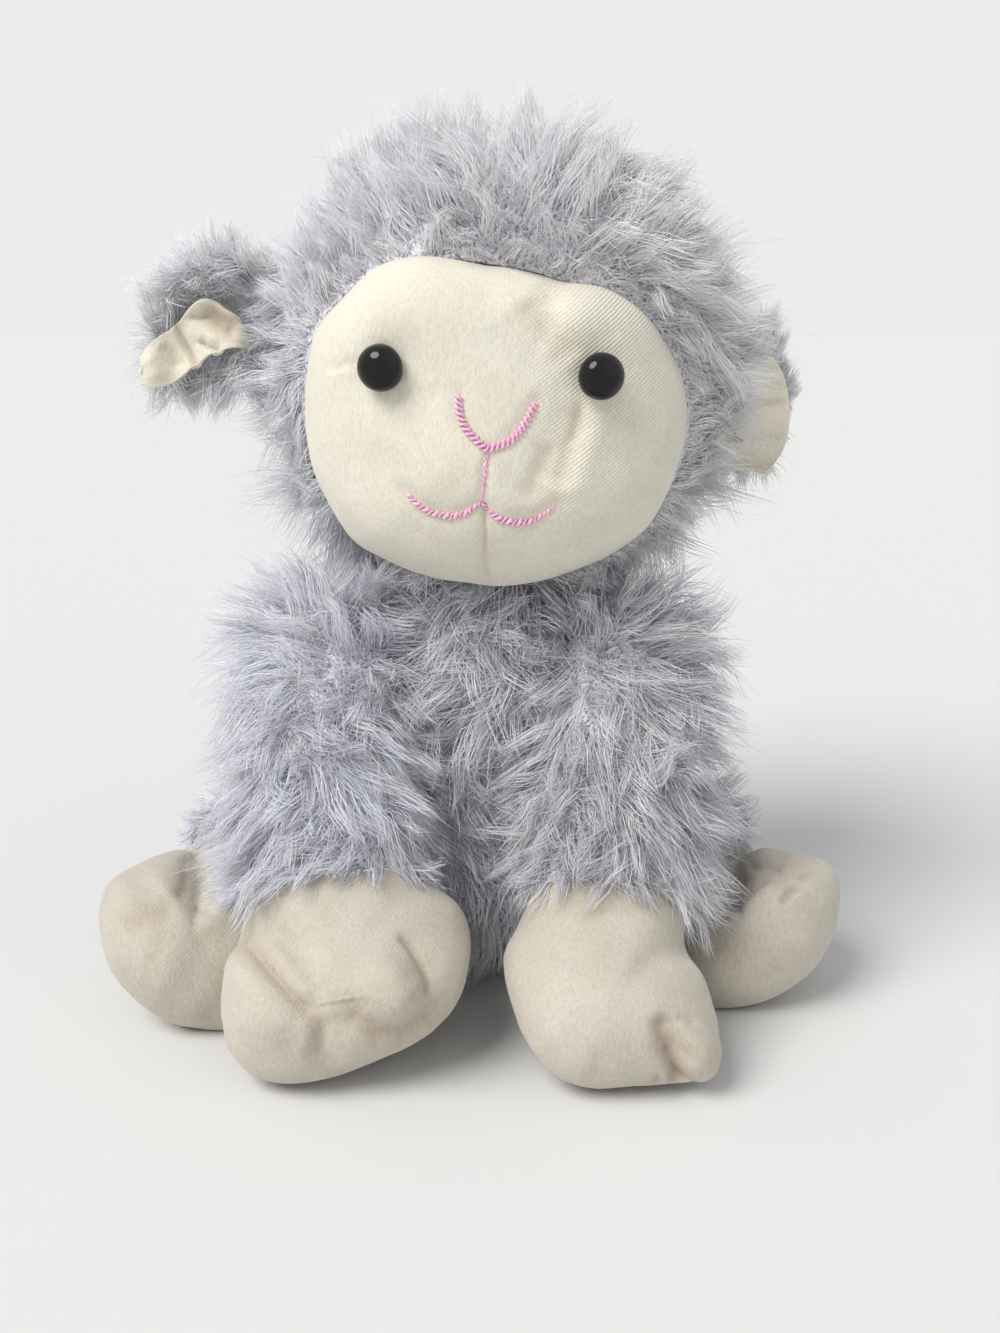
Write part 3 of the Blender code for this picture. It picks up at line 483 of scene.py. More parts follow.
knitSpeckle, plushNap = knitSpeckleGroup(), plushNapGroup()
lilacFur, knitBacking = furMaterial(), backingMaterial(knitSpeckle)
facePlush = plushMaterial("facePlush", plushNap, (0.81, 0.770, 0.660), (0.77, 0.725, 0.610), 1.1, 1500.0,
                          (0.010, 0.042))
# painted shade: the feet take the face's cream cloth made darker, for the shade they stand in
footPlush = plushMaterial("footPlush", plushNap, (0.59, 0.545, 0.470), (0.54, 0.490, 0.415), 0.16, 1200.0)
earPlush = plushMaterial("earPlush", plushNap, (0.85, 0.800, 0.680), (0.76, 0.700, 0.570), 0.06)
threadLook = {"scale": 1400.0, "roughness": 0.45, "bump": (0.3, 0.0002), "specular": 0.5, "detail": 2.0}
lightThread = grainMaterial("lightPinkThread", (0.78, 0.38, 0.57), (0.93, 0.66, 0.78), **threadLook)
deepThread = grainMaterial("deepPinkThread", (0.40, 0.045, 0.14), (0.60, 0.12, 0.26), **threadLook)
eyePlastic = grainMaterial("blackGlossPlastic", grey(0.002, 0.001), grey(0.005, 0.001), 300.0, 0.09, None,
                           specular=0.25, detail=2.0, spread=0.2, Coat_Weight=0.12, Coat_Roughness=0.03)
washerPlastic = grainMaterial("washerPlastic", grey(0.70, -0.02), grey(0.82, -0.02), 900.0, 0.45,
                              (0.5, 0.00004))
stuffingFibre = grainMaterial("stuffingFibre", grey(0.78, -0.02), grey(0.92, -0.02), 500.0, 0.95,
                              (0.5, 0.0012))
pelletCloth = grainMaterial("pelletCloth", grey(0.60, -0.02), grey(0.78, -0.02), 1500.0, 0.9, (0.5, 0.0003))
print("Materials made")


def settle(piece, body, slot, node, fill, *materials):
    piece.data.materials.clear()
    for made in materials:
        piece.data.materials.append(made)
    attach(piece, body)
    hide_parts(node)


# Face panel

face = {
    "x": 0.007, "z": 0.1755,
    "halfHeight": 0.0455,
    "rise": 0.036, "seamY": -0.018, "browLean": 0.022, "chinLean": 0.002,
    "muzzleRise": 0.0035, "muzzleRadius": 0.022, "domePower": 2.6,
    "wall": 0.0022, "rings": 96, "sectors": 256,
    "dimpleWidth": 34.0, "dimpleDepth": 0.0016,
    "allowance": ((0.995, 0.0016), (0.975, 0.0034), (0.95, 0.0050)),  # turned in behind the hood's edge
    "outline": [
        (305, 390), (308, 362), (315, 334), (327, 314), (342, 299), (360, 281), (379, 267), (404, 260),
        (430, 257), (460, 259), (489, 264), (521, 269), (548, 276), (564, 283), (601, 286), (628, 302),
        (650, 320), (668, 347), (682, 374), (687, 411), (686, 430), (682, 449), (668, 486), (650, 519),
        (620, 545), (575, 569), (534, 579), (502, 581), (468, 578), (430, 572), (387, 556), (355, 540),
        (340, 518), (328, 494), (312, 452), (305, 417),
    ],
}
eyes = {
    "pixels": {"right": (384, 366), "left": (597, 374)},
    "radius": 0.00615, "height": 0.0052, "lift": 0.0009, "sides": 64, "steps": 21,
    # under the dome: the flange's rim and edge, and the shank
    "flange": [(0.00615, -0.0006), (0.00615 * 0.96, -0.0010)],
    "shank": [(0.0021, -0.0012), (0.0021, -0.0120), (0.0, -0.0124)],
}
faceStrokes = [
    # chin seam and the dip over it
    stroke([(484, 508), (485, 540), (484, 577)], 2.4, 0.0011, taper=False),
    stroke([(485, 506), (485, 540), (484, 577)], 12.0, 0.0005, taper=False),
    stroke([(487, 448), (485, 475), (482, 502)], 6.0, 0.0007),
    # valley from the brow to the eye, and the fold below the eye whose far bank stands higher
    stroke([(522, 296), (540, 317), (561, 341), (577, 362)], 15.0, 0.0011, -0.0004),
    stroke([(582, 398), (580, 425), (571, 450), (564, 475), (556, 492)], 9.0, 0.0016, -0.0010),
    stroke([(580, 400), (578, 424), (571, 447)], 3.5, 0.0007),
    stroke([(552, 440), (545, 460), (535, 484), (526, 506)], 11.0, 0.0012, -0.0003),
    stroke([(321, 366), (334, 368), (346, 364), (362, 367)], 3.2, 0.0007, 0.0002),
    stroke([(408, 378), (424, 392), (440, 402)], 10.0, 0.0005),
    # the cloth is drawn in under the embroidery
    stroke([(458, 392), (461, 420), (474, 438), (488, 449), (505, 443), (524, 424), (537, 400)], 8.0, 0.0005,
           taper=False),
    stroke([(405, 490), (420, 507), (450, 517), (482, 504), (500, 519), (528, 521), (557, 503)], 8.0, 0.0007,
           taper=False),
    stroke([(545, 279), (549, 296), (546, 312)], 10.0, 0.0007),
    # fuller forms: right cheek, left cheek, the swell over the left eye
    stroke([(566, 520), (600, 498), (636, 462)], 30.0, -0.0012),
    stroke([(400, 430), (430, 470)], 32.0, -0.0008),
    stroke([(575, 310), (620, 318)], 24.0, -0.0008),
]


def faceDepth(x, z, reach):
    dx, dz = x - face["x"], z - face["z"]
    lean = np.where(dz > 0, face["browLean"], face["chinLean"]) * (dz / face["halfHeight"]) ** 2
    dome = face["rise"] * np.sqrt(np.maximum(0.0, 1.0 - reach ** face["domePower"]))
    low = dz + 0.3 * face["halfHeight"]
    muzzle = face["muzzleRise"] * np.exp(-(dx ** 2 + low ** 2) / face["muzzleRadius"] ** 2)
    return face["seamY"] - lean - dome - muzzle * (1.0 - reach ** 2)


def faceOutline(count, times=6):
    # the photographed outline as a radius at each angle, on the seam's own curve in space
    spots = []
    for pixel in face["outline"]:
        y = face["seamY"]
        for again in range(times):
            spot = pixelAtDepth(pixel, y)
            y = float(faceDepth(spot[0], spot[2], np.float64(1.0)))
        spots.append((spot[0] - face["x"], spot[2] - face["z"]))
    across, rise = np.array(spots).T
    angles, radii = np.arctan2(rise, across), np.hypot(across, rise)
    order = np.argsort(angles)
    turns = np.linspace(-math.pi, math.pi, count, endpoint=False)
    radius = np.interp(turns, angles[order], radii[order], period=2 * math.pi)
    for again in range(times):
        radius = 0.5 * radius + 0.25 * (np.roll(radius, 1) + np.roll(radius, -1))
    return turns, radius


faceTurns, faceRadii = faceOutline(face["sectors"])


def faceRing(share):  # x and z of the face's outline, drawn in to a share of its size
    radius = share * faceRadii
    return face["x"] + radius * np.cos(faceTurns), face["z"] + radius * np.sin(faceTurns)


def faceReach(x, z):  # 1 on the face's outline, below 1 inside it
    dx, dz = x - face["x"], z - face["z"]
    edge = np.interp(np.arctan2(dz, dx), faceTurns, faceRadii, period=2 * math.pi)
    return np.hypot(dx, dz) / edge


def makeFace():
    shares = np.sin(np.linspace(0, math.pi / 2, face["rings"] + 1)[1:]) ** 0.9
    count = face["sectors"]
    points = [(face["x"], float(faceDepth(face["x"], face["z"], np.float64(0))), face["z"])]
    rows = [(share, share, 0.0) for share in shares]
    rows += [(share, 1.0, back) for share, back in face["allowance"]]
    for share, reach, back in rows:
        x, z = faceRing(share)
        points += list(zip(x, faceDepth(x, z, np.full(count, reach)) + back, z))
    faces = [(0, 1 + i, 1 + (i + 1) % count) for i in range(count)] + gridFaces(len(rows), count, 1)
    panel = meshPiece("facePanel", points, faces)
    with reworked(panel) as work:
        bmesh.ops.recalc_face_normals(work, faces=work.faces)
        if sum(f.normal.y for f in work.faces) > 0:
            bmesh.ops.reverse_faces(work, faces=work.faces)
    flat = pointsOf(panel)
    pushOut(panel, wander(flat, 0.010, 21) * 0.00035 + wander(flat, 0.0045, 22) * 0.00012)
    pressStrokes(panel, faceStrokes)
    for pixel in eyes["pixels"].values():  # the eyes' shanks draw the cloth in
        gap = np.linalg.norm(pixelsOf(pointsOf(panel))[0] - vec(*pixel), axis=1)
        pushOut(panel, -face["dimpleDepth"] * np.exp(-(gap / face["dimpleWidth"]) ** 2))
    return panel


facePanel = makeFace()
faceSkin = skinTree(facePanel)[0]


def onFace(pixel):
    hit, normal, index, gap = faceSkin.ray_cast(Vector(eyePoint), Vector(rayThrough(pixel)).normalized())
    return np.array(hit), np.array(-normal if normal.y > 0 else normal)


# Eyes

def spun(name, profile, centre, outward, sides):  # turns a profile of radii and heights about an axis
    loops = [ring(vec(0, 0, rise), vec(1, 0, 0), vec(0, 1, 0), radius, radius, sides)
             for radius, rise in profile]
    piece = meshPiece(name, [p for loop in loops for p in loop], gridFaces(len(profile), sides))
    with reworked(piece) as work:
        bmesh.ops.remove_doubles(work, verts=work.verts, dist=1e-6)
        bmesh.ops.recalc_face_normals(work, faces=work.faces)
    turn = Vector(outward).to_track_quat("Z", "Y").to_matrix().to_4x4()
    piece.data.transform(Matrix.Translation(Vector(centre)) @ turn)
    return piece


def makeEyes():
    for name in eyes["pixels"]:
        shape = pointsOf(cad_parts[f"{name}_eye"])
        middle = shape.mean(0)
        axis = np.linalg.svd(shape - middle)[2][0]
        axis = axis * (-1.0 if axis[1] > 0 else 1.0)
        top = middle + axis * ((shape - middle) @ axis).max()
        base = top - axis * (eyes["height"] + eyes["lift"])
        turns = [math.pi / 2 * i / eyes["steps"] for i in range(1, eyes["steps"] + 1)]
        dome = [(eyes["radius"] * math.sin(t) ** 0.94, eyes["height"] * math.cos(t) ** 0.92) for t in turns]
        profile = [(0.0, eyes["height"])] + dome + eyes["flange"] + eyes["shank"]
        piece = spun(f"{name}Eye", profile, base + axis * eyes["lift"], axis, eyes["sides"])
        settle(piece, "head", "black_gloss_plastic", f"{name}_eye", None, eyePlastic)
        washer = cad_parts[f"{name}_eye_washer"]
        washer.data.materials.clear()
        washer.data.materials.append(washerPlastic)


makeEyes()
print("Face and eyes made")


# Embroidery

stitching = {
    # plies: tone (0 light, 1 deep), its share of the half width, and its phase along the twist
    "nose": {
        "line": [(458, 394), (459, 409), (462, 422), (469, 433), (477, 441), (486, 449), (500, 446),
                 (513, 440), (522, 429), (530, 415), (536, 402)],
        "swell": [1.0], "width": 0.0027, "pitch": 0.0029, "bead": 0.45,
        "plies": [(0, 0.52, 0.0), (1, 0.50, 0.5)],
        "slot": "light_pink_thread",
    },
    "philtrum": {
        "line": [(487, 452), (486, 468), (484, 485), (481, 502)],
        "swell": [0.9, 1.0, 0.85, 0.8], "width": 0.0014, "pitch": 0.0034, "bead": 0.20,
        # painted shade: a deep ply is wound into the philtrum's light pink thread to stand in for its shaded
        # side
        "plies": [(0, 0.54, 0.0), (1, 0.42, 0.5)],
        "slot": "light_pink_thread",
    },
    "mouth": {
        "line": [(407, 493), (417, 504), (430, 512), (451, 517), (467, 513), (481, 502), (487, 509),
                 (500, 519), (516, 523), (532, 521), (545, 514), (556, 504)],
        "swell": [0.75, 0.85, 0.95, 1.0, 1.0, 0.8, 0.55, 1.15, 1.15, 0.95, 0.7, 0.4],
        "width": 0.0024, "pitch": 0.0029, "bead": 0.40, "plies": [(1, 0.62, 0.0), (0, 0.40, 0.5)],
        "slot": "deep_pink_thread",
    },
}


def stitchMesh(name, settings, around=8, step=0.00016):
    # plies of thread wound round each other; they swell and rise between the needle's holes
    points, normals = np.array([onFace(pixel) for pixel in settings["line"]]).transpose(1, 0, 2)
    length = np.concatenate([[0], np.cumsum(np.linalg.norm(np.diff(points, axis=0), axis=1))])
    fine = np.arange(0.0, length[-1], step)
    centre = np.stack([np.interp(fine, length, points[:, k]) for k in range(3)], 1)
    out = np.stack([np.interp(fine, length, normals[:, k]) for k in range(3)], 1)
    for again in range(10):  # rounds the corners of the pixel line
        centre[1:-1] = 0.5 * centre[1:-1] + 0.25 * (centre[:-2] + centre[2:])
    ahead = unit(np.gradient(centre, axis=0))
    aside = unit(np.cross(ahead, unit(out)))
    out = np.cross(aside, ahead)
    swell = np.interp(fine / length[-1], np.linspace(0, 1, len(settings["swell"])), settings["swell"])
    ends = np.minimum(1.0, np.minimum(fine, length[-1] - fine) / 0.0008) ** 0.5
    half = 0.5 * settings["width"] * swell * (0.35 + 0.65 * ends)
    turns = 2 * math.pi * fine / settings["pitch"]
    rows = len(fine)
    points, faces, toneOf = [], [], []
    for tone, share, phase in settings["plies"]:
        turn = turns + 2 * math.pi * phase
        radius = half * share * (1 - settings["bead"] + settings["bead"] * np.abs(np.sin(turn * 0.5 + 0.4)))
        swing = half * (1 - share)
        middle = centre + aside * (swing * np.cos(turn))[:, None]
        middle = middle + out * (half * 0.16 + swing * 0.75 * np.sin(turn) - (1 - ends) * half * 0.5)[:, None]
        base = len(points)
        starts = [base + k * rows for k in range(around)]
        for k, a in enumerate(starts):
            b, bend = starts[(k + 1) % around], 2 * math.pi * k / around
            points += list(middle + aside * (radius * math.cos(bend))[:, None]
                           + out * (radius * 0.9 * math.sin(bend))[:, None])
            faces += [(a + i, b + i, b + i + 1, a + i + 1) for i in range(rows - 1)]
        faces += [starts, [start + rows - 1 for start in starts]]
        toneOf += [tone] * (len(faces) - len(toneOf))
    piece = meshPiece(name, points, faces)
    with reworked(piece) as work:
        bmesh.ops.recalc_face_normals(work, faces=work.faces)
    piece.data.polygons.foreach_set("material_index", toneOf)
    return piece


for part, settings in stitching.items():
    threads = stitchMesh(f"{part}Stitches", settings)
    settle(threads, "head", settings["slot"], f"{part}_embroidery", None, lightThread, deepThread)
thickened(facePanel, face["wall"])
settle(facePanel, "head", "cream_plush", "face_panel", 0.8, facePlush)
print("Stitches made")


# Skins under the fur

torso = {
    "height": 0.112, "halfWidth": 0.055, "front": 0.041, "back": 0.045, "centreY": 0.017,
    "flank": 0.0505, "sides": 12, "grow": 0.0036,
    # height, half width, front and back as shares of the sizes above, and how far each ring shifts back
    "shares": [
        (-0.010, 0.62, 0.52, 0.66, 0.00), (0.075, 0.90, 0.84, 0.90, 0.00), (0.250, 1.02, 1.00, 1.00, 0.00),
        (0.450, 0.97, 1.00, 0.98, 0.00), (0.640, 0.74, 0.88, 0.84, 0.00), (0.800, 0.64, 0.82, 0.68, -0.05),
        (0.930, 0.60, 0.76, 0.60, -0.12), (1.040, 0.44, 0.54, 0.44, -0.16),
    ],
    "crown": (-0.16, 1.06),
}
head = {
    "centre": (0.008, -0.001, 0.1855), "halfSizes": (0.058, 0.053, 0.0575), "grow": 0.0028, "rows": 110,
    "neckCut": (0.0, -0.030, 0.1275), "neckCutNormal": (0.0, -0.116, 0.993),
    "rimShare": 1.001, "rimRise": 0.0014, "wall": 0.0012,
}
neck = {"x": 0.004, "y": 0.007, "radius": 0.0205, "low": 0.098, "high": 0.142,
        "tuck": 0.004, "rings": 9, "sides": 24}


def torsoSkin():
    rings, sides = [], torso["sides"]
    swell = cageSwell(sides)
    for height, width, front, back, shift in torso["shares"]:
        middle = torso["centreY"] + shift * torso["back"]
        loop = []
        for i in range(sides):
            turn = 2 * math.pi * i / sides
            depth = back * torso["back"] if math.sin(turn) > 0 else front * torso["front"]
            x = width * torso["halfWidth"] * swell * math.cos(turn)
            x = max(-torso["flank"], min(torso["flank"], x))
            loop.append((x, middle + depth * swell * math.sin(turn), height * torso["height"]))
        rings.append(loop)
    shift, crown = torso["crown"]
    top = (0.0, torso["centreY"] + shift * torso["back"], torso["height"] * crown)
    skin = ringForm("bodySkin", rings, ((0.0, torso["centreY"], 0.0), top), 3, torso["grow"])
    keepAbove(skin, skinGap)
    return skin


def headSkin():
    # rows of the hood run from the panel's seam outward and round to the back of the head
    centre, half = vec(*head["centre"]), vec(*head["halfSizes"]) + head["grow"]
    sides, rows = face["sectors"], head["rows"]
    edgeX, edgeZ = faceRing(head["rimShare"])
    seam = np.stack([edgeX, faceDepth(edgeX, edgeZ, np.ones(sides)) - head["rimRise"], edgeZ], 1)
    across, depth, rise = ((seam - centre) / half).T
    first = np.arcsin(np.minimum(np.hypot(across, rise), 0.999))
    turns = np.arctan2(rise, across)
    points = []
    for row in range(rows):
        share = row / rows
        tilt = first + (math.pi - first) * share
        spot = centre + half * np.stack(
            [np.sin(tilt) * np.cos(turns), -np.cos(tilt), np.sin(tilt) * np.sin(turns)], 1)
        if row == 0:
            offset = seam - spot
        points += list(spot + offset * (1 - ease(share, -0.02, 0.20)))
    points.append(centre + half * vec(0, 1, 0))
    last, pole = (rows - 1) * sides, len(points) - 1
    faces = gridFaces(rows, sides) + [(last + i, pole, last + (i + 1) % sides) for i in range(sides)]
    skin = meshPiece("headSkin", points, faces)
    with reworked(skin) as work:  # the neck's opening
        bmesh.ops.bisect_plane(
            work, geom=work.verts[:] + work.edges[:] + work.faces[:], dist=1e-6,
            plane_co=head["neckCut"], plane_no=head["neckCutNormal"], clear_inner=True)
        bmesh.ops.recalc_face_normals(work, faces=work.faces)
        if sum(f.normal.y * (f.calc_center_median().y - centre[1]) for f in work.faces) < 0:
            bmesh.ops.reverse_faces(work, faces=work.faces)
    skin.data.polygons.foreach_set("use_smooth", [True] * len(skin.data.polygons))
    return skin


# each leg: the places its middle line passes, from the seam at the body to the toe, and half sizes across it
legs = {
    "leftFront": {
        "path": [(0.0445, -0.006, 0.1135), (0.0395, -0.050, 0.0440), (0.0390, -0.070, 0.0225),
                 (0.0395, -0.0985, 0.0200)],
        "sleeve": (0.0175, 0.0165), "foot": (0.0310, 0.0228),
    },
    "rightFront": {
        "path": [(-0.0430, -0.006, 0.1145), (-0.0400, -0.050, 0.0470), (-0.0355, -0.070, 0.0235),
                 (-0.0370, -0.098, 0.0210)],
        "sleeve": (0.0180, 0.0165), "foot": (0.0345, 0.0238),
    },
    "leftHind": {
        "path": [(0.0440, 0.018, 0.0345), (0.0730, -0.003, 0.0315), (0.0860, -0.022, 0.0240),
                 (0.0890, -0.052, 0.0210)],
        "sleeve": (0.0165, 0.0175), "foot": (0.0262, 0.0242),
    },
    "rightHind": {
        "path": [(-0.0440, 0.016, 0.0345), (-0.0745, -0.009, 0.0315), (-0.0890, -0.035, 0.0245),
                 (-0.0935, -0.066, 0.0210)],
        "sleeve": (0.0165, 0.0175), "foot": (0.0262, 0.0242),
    },
}
for leg in legs.values():
    leg["path"] = [vec(*place) for place in leg["path"]]
legShares = {  # place along the path, and the ring's width and depth as shares of the half sizes
    "Front": [
        (0.035, 0.60, 0.62), (0.170, 0.90, 0.92), (0.420, 1.00, 1.02), (0.720, 1.04, 1.03),
        (1.000, 1.00, 0.96), (1.220, 0.93, 0.95),
    ],
    "Hind": [
        (0.060, 0.70, 0.70), (0.300, 0.98, 0.96), (0.650, 1.04, 1.02), (1.000, 1.00, 0.98),
        (1.450, 0.92, 0.90),
    ],
    "footSwell": 0.45,
    "FrontFoot": [
        (0.78, 0.44, 0.56), (0.98, 0.72, 0.82), (1.22, 0.93, 0.96), (1.50, 1.00, 1.00), (1.950, 1.02, 1.00),
        (2.450, 0.97, 0.94), (2.830, 0.68, 0.68),
    ],
    "HindFoot": [
        (0.80, 0.56, 0.60), (1.00, 0.80, 0.82), (1.22, 0.90, 0.90), (1.50, 0.96, 0.94), (1.95, 1.02, 1.00),
        (2.48, 0.90, 0.88), (2.84, 0.58, 0.60),
    ],
}


def legForm(name, leg, kind, first, last, levels, grow, sides=12):
    path = leg["path"]
    side = vec(1, 0, 0) if kind.startswith("Front") else unit(np.cross(path[3] - path[0], vec(0, 0, 1)))
    sleeve, foot, rings = vec(*leg["sleeve"]), vec(*leg["foot"]), []
    for t, wide, deep in legShares[kind]:
        way = pathWay(path, t, 0.02)
        flat = unit(side - way * (side @ way))
        share = 1.0 if kind.endswith("Foot") else min(1.0, max(0.0, (t - 1.0) / legShares["footSwell"]))
        halfWide, halfDeep = (wide, deep) * ((sleeve + (foot - sleeve) * share) * cageSwell(sides))
        rings.append(ring(smoothPath(path, t), flat, np.cross(flat, way), halfWide, halfDeep, sides))
    poles = smoothPath(path, max(0.0, first - 0.01)), smoothPath(path, min(3.0, last))
    return ringForm(name, rings, poles, levels, grow)


def sleeveSkin(name, kind, last):  # ends in a flat cut across the wrist or ankle
    path = legs[name]["path"]
    skin = legForm(f"{name}Sleeve", legs[name], kind, 0.0, last, 3, torso["grow"])
    cut, points = pathWay(path, 1.0, 0.05), pointsOf(skin)
    movePoints(skin, points - cut * np.maximum(0.0, (points - path[1]) @ cut - 0.001)[:, None])
    return skin, cut


bodySkin = torsoSkin()
hoodSkin = headSkin()
print("Skins made")


# Feet

feet = {
    "leftFront": {
        "outline": [(502, 960), (510, 1000), (525, 1040), (550, 1072), (590, 1088), (640, 1086), (672, 1087),
                    (700, 1083), (716, 1070), (721, 1050), (718, 1025), (712, 1000), (700, 965), (672, 922),
                    (640, 900), (600, 892), (550, 898), (515, 925)],
        "centre": (608, 995), "strokes": [
            # the small outer toe, the hollow beside it and the tuck under it
            stroke([(664, 1026), (668, 1046), (674, 1066), (684, 1092)], 11.0, 0.0026, taper=False),
            stroke([(666, 1052), (673, 1068), (683, 1090)], 4.5, 0.0014, taper=False),
            stroke([(674, 1046), (686, 1054)], 10.0, 0.0014),
            stroke([(655, 1092), (657, 1081)], 5.0, 0.0013),
            stroke([(702, 1052), (704, 1066)], 17.0, -0.0020),
            stroke([(669, 1080), (669, 1088)], 7.0, -0.0010),
            stroke([(676, 1016), (688, 1018), (696, 1026)], 5.0, 0.0006),
            stroke([(536, 1030), (560, 1056), (600, 1068)], 24.0, -0.0008),
            stroke([(530, 912), (600, 904), (650, 916)], 9.0, 0.0006),
        ],
    },
    "rightFront": {
        "outline": [(474, 945), (468, 980), (455, 1010), (430, 1036), (400, 1055), (340, 1080), (280, 1087),
                    (250, 1075), (232, 1055), (221, 1030), (220, 1005), (226, 965), (250, 905), (300, 872),
                    (360, 858), (420, 866), (458, 900)],
        "centre": (345, 975), "strokes": [
            # the deep fold beside the inner toe, whose bank stands higher, and the ridge beyond it
            stroke([(258, 990), (264, 1020)], 34.0, -0.0020, taper=False),
            stroke([(236, 930), (250, 946), (264, 964), (282, 986), (300, 1005), (316, 1022)], 13.0, 0.0016,
                   0.0012),
            stroke([(246, 944), (262, 963), (281, 985), (296, 1001), (312, 1014)], 4.0, 0.0017),
            stroke([(262, 934), (282, 958), (302, 982), (312, 996)], 10.0, -0.0009),
            stroke([(272, 924), (288, 946), (304, 970), (316, 990)], 10.0, 0.0008),
            stroke([(300, 1006), (314, 1014), (320, 1030), (318, 1050), (306, 1066)], 9.0, 0.0016, 0.0006),
            stroke([(328, 1012), (328, 1045), (322, 1080)], 14.0, 0.0008),
            stroke([(342, 1014), (343, 1032)], 22.0, 0.0011),
            # the seam's stitches and the round toe beside them
            *[stroke([(321 + 9 * k, 1003 - 1.4 * k), (325 + 9 * k, 1002.4 - 1.4 * k)], 2.4, -0.0006,
                     taper=False) for k in range(5)],
            stroke([(314, 1006), (338, 1002), (366, 998)], 6.0, 0.0004),
            stroke([(390, 984), (395, 992)], 25.0, -0.0056),
            stroke([(350, 992), (358, 1020), (379, 1037), (404, 1036), (425, 1018), (437, 988)], 12.0,
                   0.0022),
            stroke([(396, 930), (412, 946), (424, 966), (429, 982), (424, 998)], 5.5, 0.0019, 0.0006),
            stroke([(400, 950), (420, 966)], 12.0, 0.0008),
            stroke([(300, 925), (350, 935)], 36.0, -0.0010),
        ],
    },
    "leftHind": {
        "outline": [(735, 849), (785, 852), (820, 859), (834, 872), (839, 895), (838, 915), (830, 945),
                    (815, 970), (790, 990), (765, 1002), (740, 1008), (712, 1009), (680, 1004), (660, 965),
                    (662, 910), (690, 865)],
        "centre": (748, 930), "strokes": [
            stroke([(716, 923), (730, 911), (745, 897), (758, 888), (776, 879)], 4.0, 0.0010, 0.0005),
            stroke([(745, 869), (765, 864), (784, 871)], 6.0, 0.0013, 0.0004),
            stroke([(781, 906), (788, 894), (798, 883)], 4.5, 0.0016, 0.0004),
            stroke([(798, 880), (808, 874), (816, 872)], 4.0, 0.0010),
            stroke([(770, 893), (776, 898)], 13.0, -0.0013),
            stroke([(812, 890), (820, 900)], 14.0, -0.0010),
        ],
    },
    "rightHind": {
        "outline": [(155, 857), (128, 868), (108, 882), (98, 903), (97, 925), (103, 955), (116, 980),
                    (140, 1003), (165, 1019), (190, 1028), (220, 1032), (258, 1030), (300, 1000), (322, 940),
                    (322, 870), (285, 824), (240, 830), (208, 843), (180, 849)],
        "centre": (190, 945), "strokes": [
            stroke([(183, 852), (187, 868), (185, 886), (176, 904)], 12.0, 0.0011, 0.0004),
            stroke([(186, 872), (185, 888), (178, 900)], 5.0, 0.0004),
            stroke([(120, 930), (148, 918), (178, 906)], 12.0, 0.0011),
            stroke([(160, 884), (166, 892)], 14.0, -0.0012),
            stroke([(118, 890), (124, 900)], 16.0, -0.0012),
            stroke([(194, 909), (204, 911), (216, 910)], 4.0, 0.0005),
            stroke([(152, 960), (166, 930)], 12.0, 0.0005),
        ],
    },
}
ripples = ((0.010, 0.0005), (0.004, 0.00015))  # size and height of the feet's unevenness
cushion = {"voxel": 0.0042, "pressure": 4.0, "frames": 20, "furthest": 0.0022, "startInside": 0.0008,
           "quality": 6, "mass": 0.25, "fill": 0.75}


def outlineRadius(outline, centre, turns):  # how far the outline lies from its centre at each angle
    spots = outline - vec(*centre)
    radii = []
    for turn in turns:
        way = vec(math.cos(turn), math.sin(turn))
        far = 0.0
        for a, b in zip(spots, np.roll(spots, -1, axis=0)):
            span = b - a
            bottom = way[0] * span[1] - way[1] * span[0]
            if abs(bottom) > 1e-9:
                along = (a[0] * span[1] - a[1] * span[0]) / bottom
                place = (a[0] * way[1] - a[1] * way[0]) / bottom
                if along > 0 and -1e-6 <= place <= 1 + 1e-6:
                    far = max(far, along)
        radii.append(far)
    return np.array(radii)


def roundedLoop(loop):  # cuts the corners of a closed line of pixels
    loop = np.array(loop, float)
    for again in range(3):
        after = np.roll(loop, -1, axis=0)
        loop = np.stack([0.75 * loop + 0.25 * after, 0.25 * loop + 0.75 * after], 1).reshape(-1, 2)
    return loop


def fitOutline(piece, outline, centre, hold, wholeTop, bins=90):
    # swells or draws in the form, square to the camera's view, until it fills the outline
    outline = roundedLoop(outline)
    turns = (np.arange(bins) + 0.5) / bins * 2 * math.pi - math.pi
    for again in range(4):
        points = pointsOf(piece)
        pixels, depth = pixelsOf(points)
        spread = pixels - vec(*centre)
        angle = np.arctan2(spread[:, 1], spread[:, 0])
        radius = np.hypot(spread[:, 0], spread[:, 1])
        index = np.clip(((angle + math.pi) / (2 * math.pi) * bins).astype(int), 0, bins - 1)
        own = np.zeros(bins)
        np.maximum.at(own, index, radius)
        own = np.where(own < 1, own.max(), own)
        factor = outlineRadius(outline, centre, turns) / own
        for step in range(5):
            factor = 0.5 * factor + 0.25 * (np.roll(factor, 1) + np.roll(factor, -1))
        change = np.interp(angle, turns, factor, period=2 * math.pi) - 1.0
        change = change * hold(points) * ease(radius, 0.0, own.max() * 0.35)
        if not wholeTop:
            change = change * (1 - ease(-spread[:, 1] / np.maximum(radius, 1e-6), 0.20, 0.95))
        shift = spread * change[:, None] * (depth / focal)[:, None]
        movePoints(piece, points + shift[:, :1] * rightward - shift[:, 1:] * upward)
        keepAbove(piece, floorGap)
        if again == 1:
            evened(piece, 24)


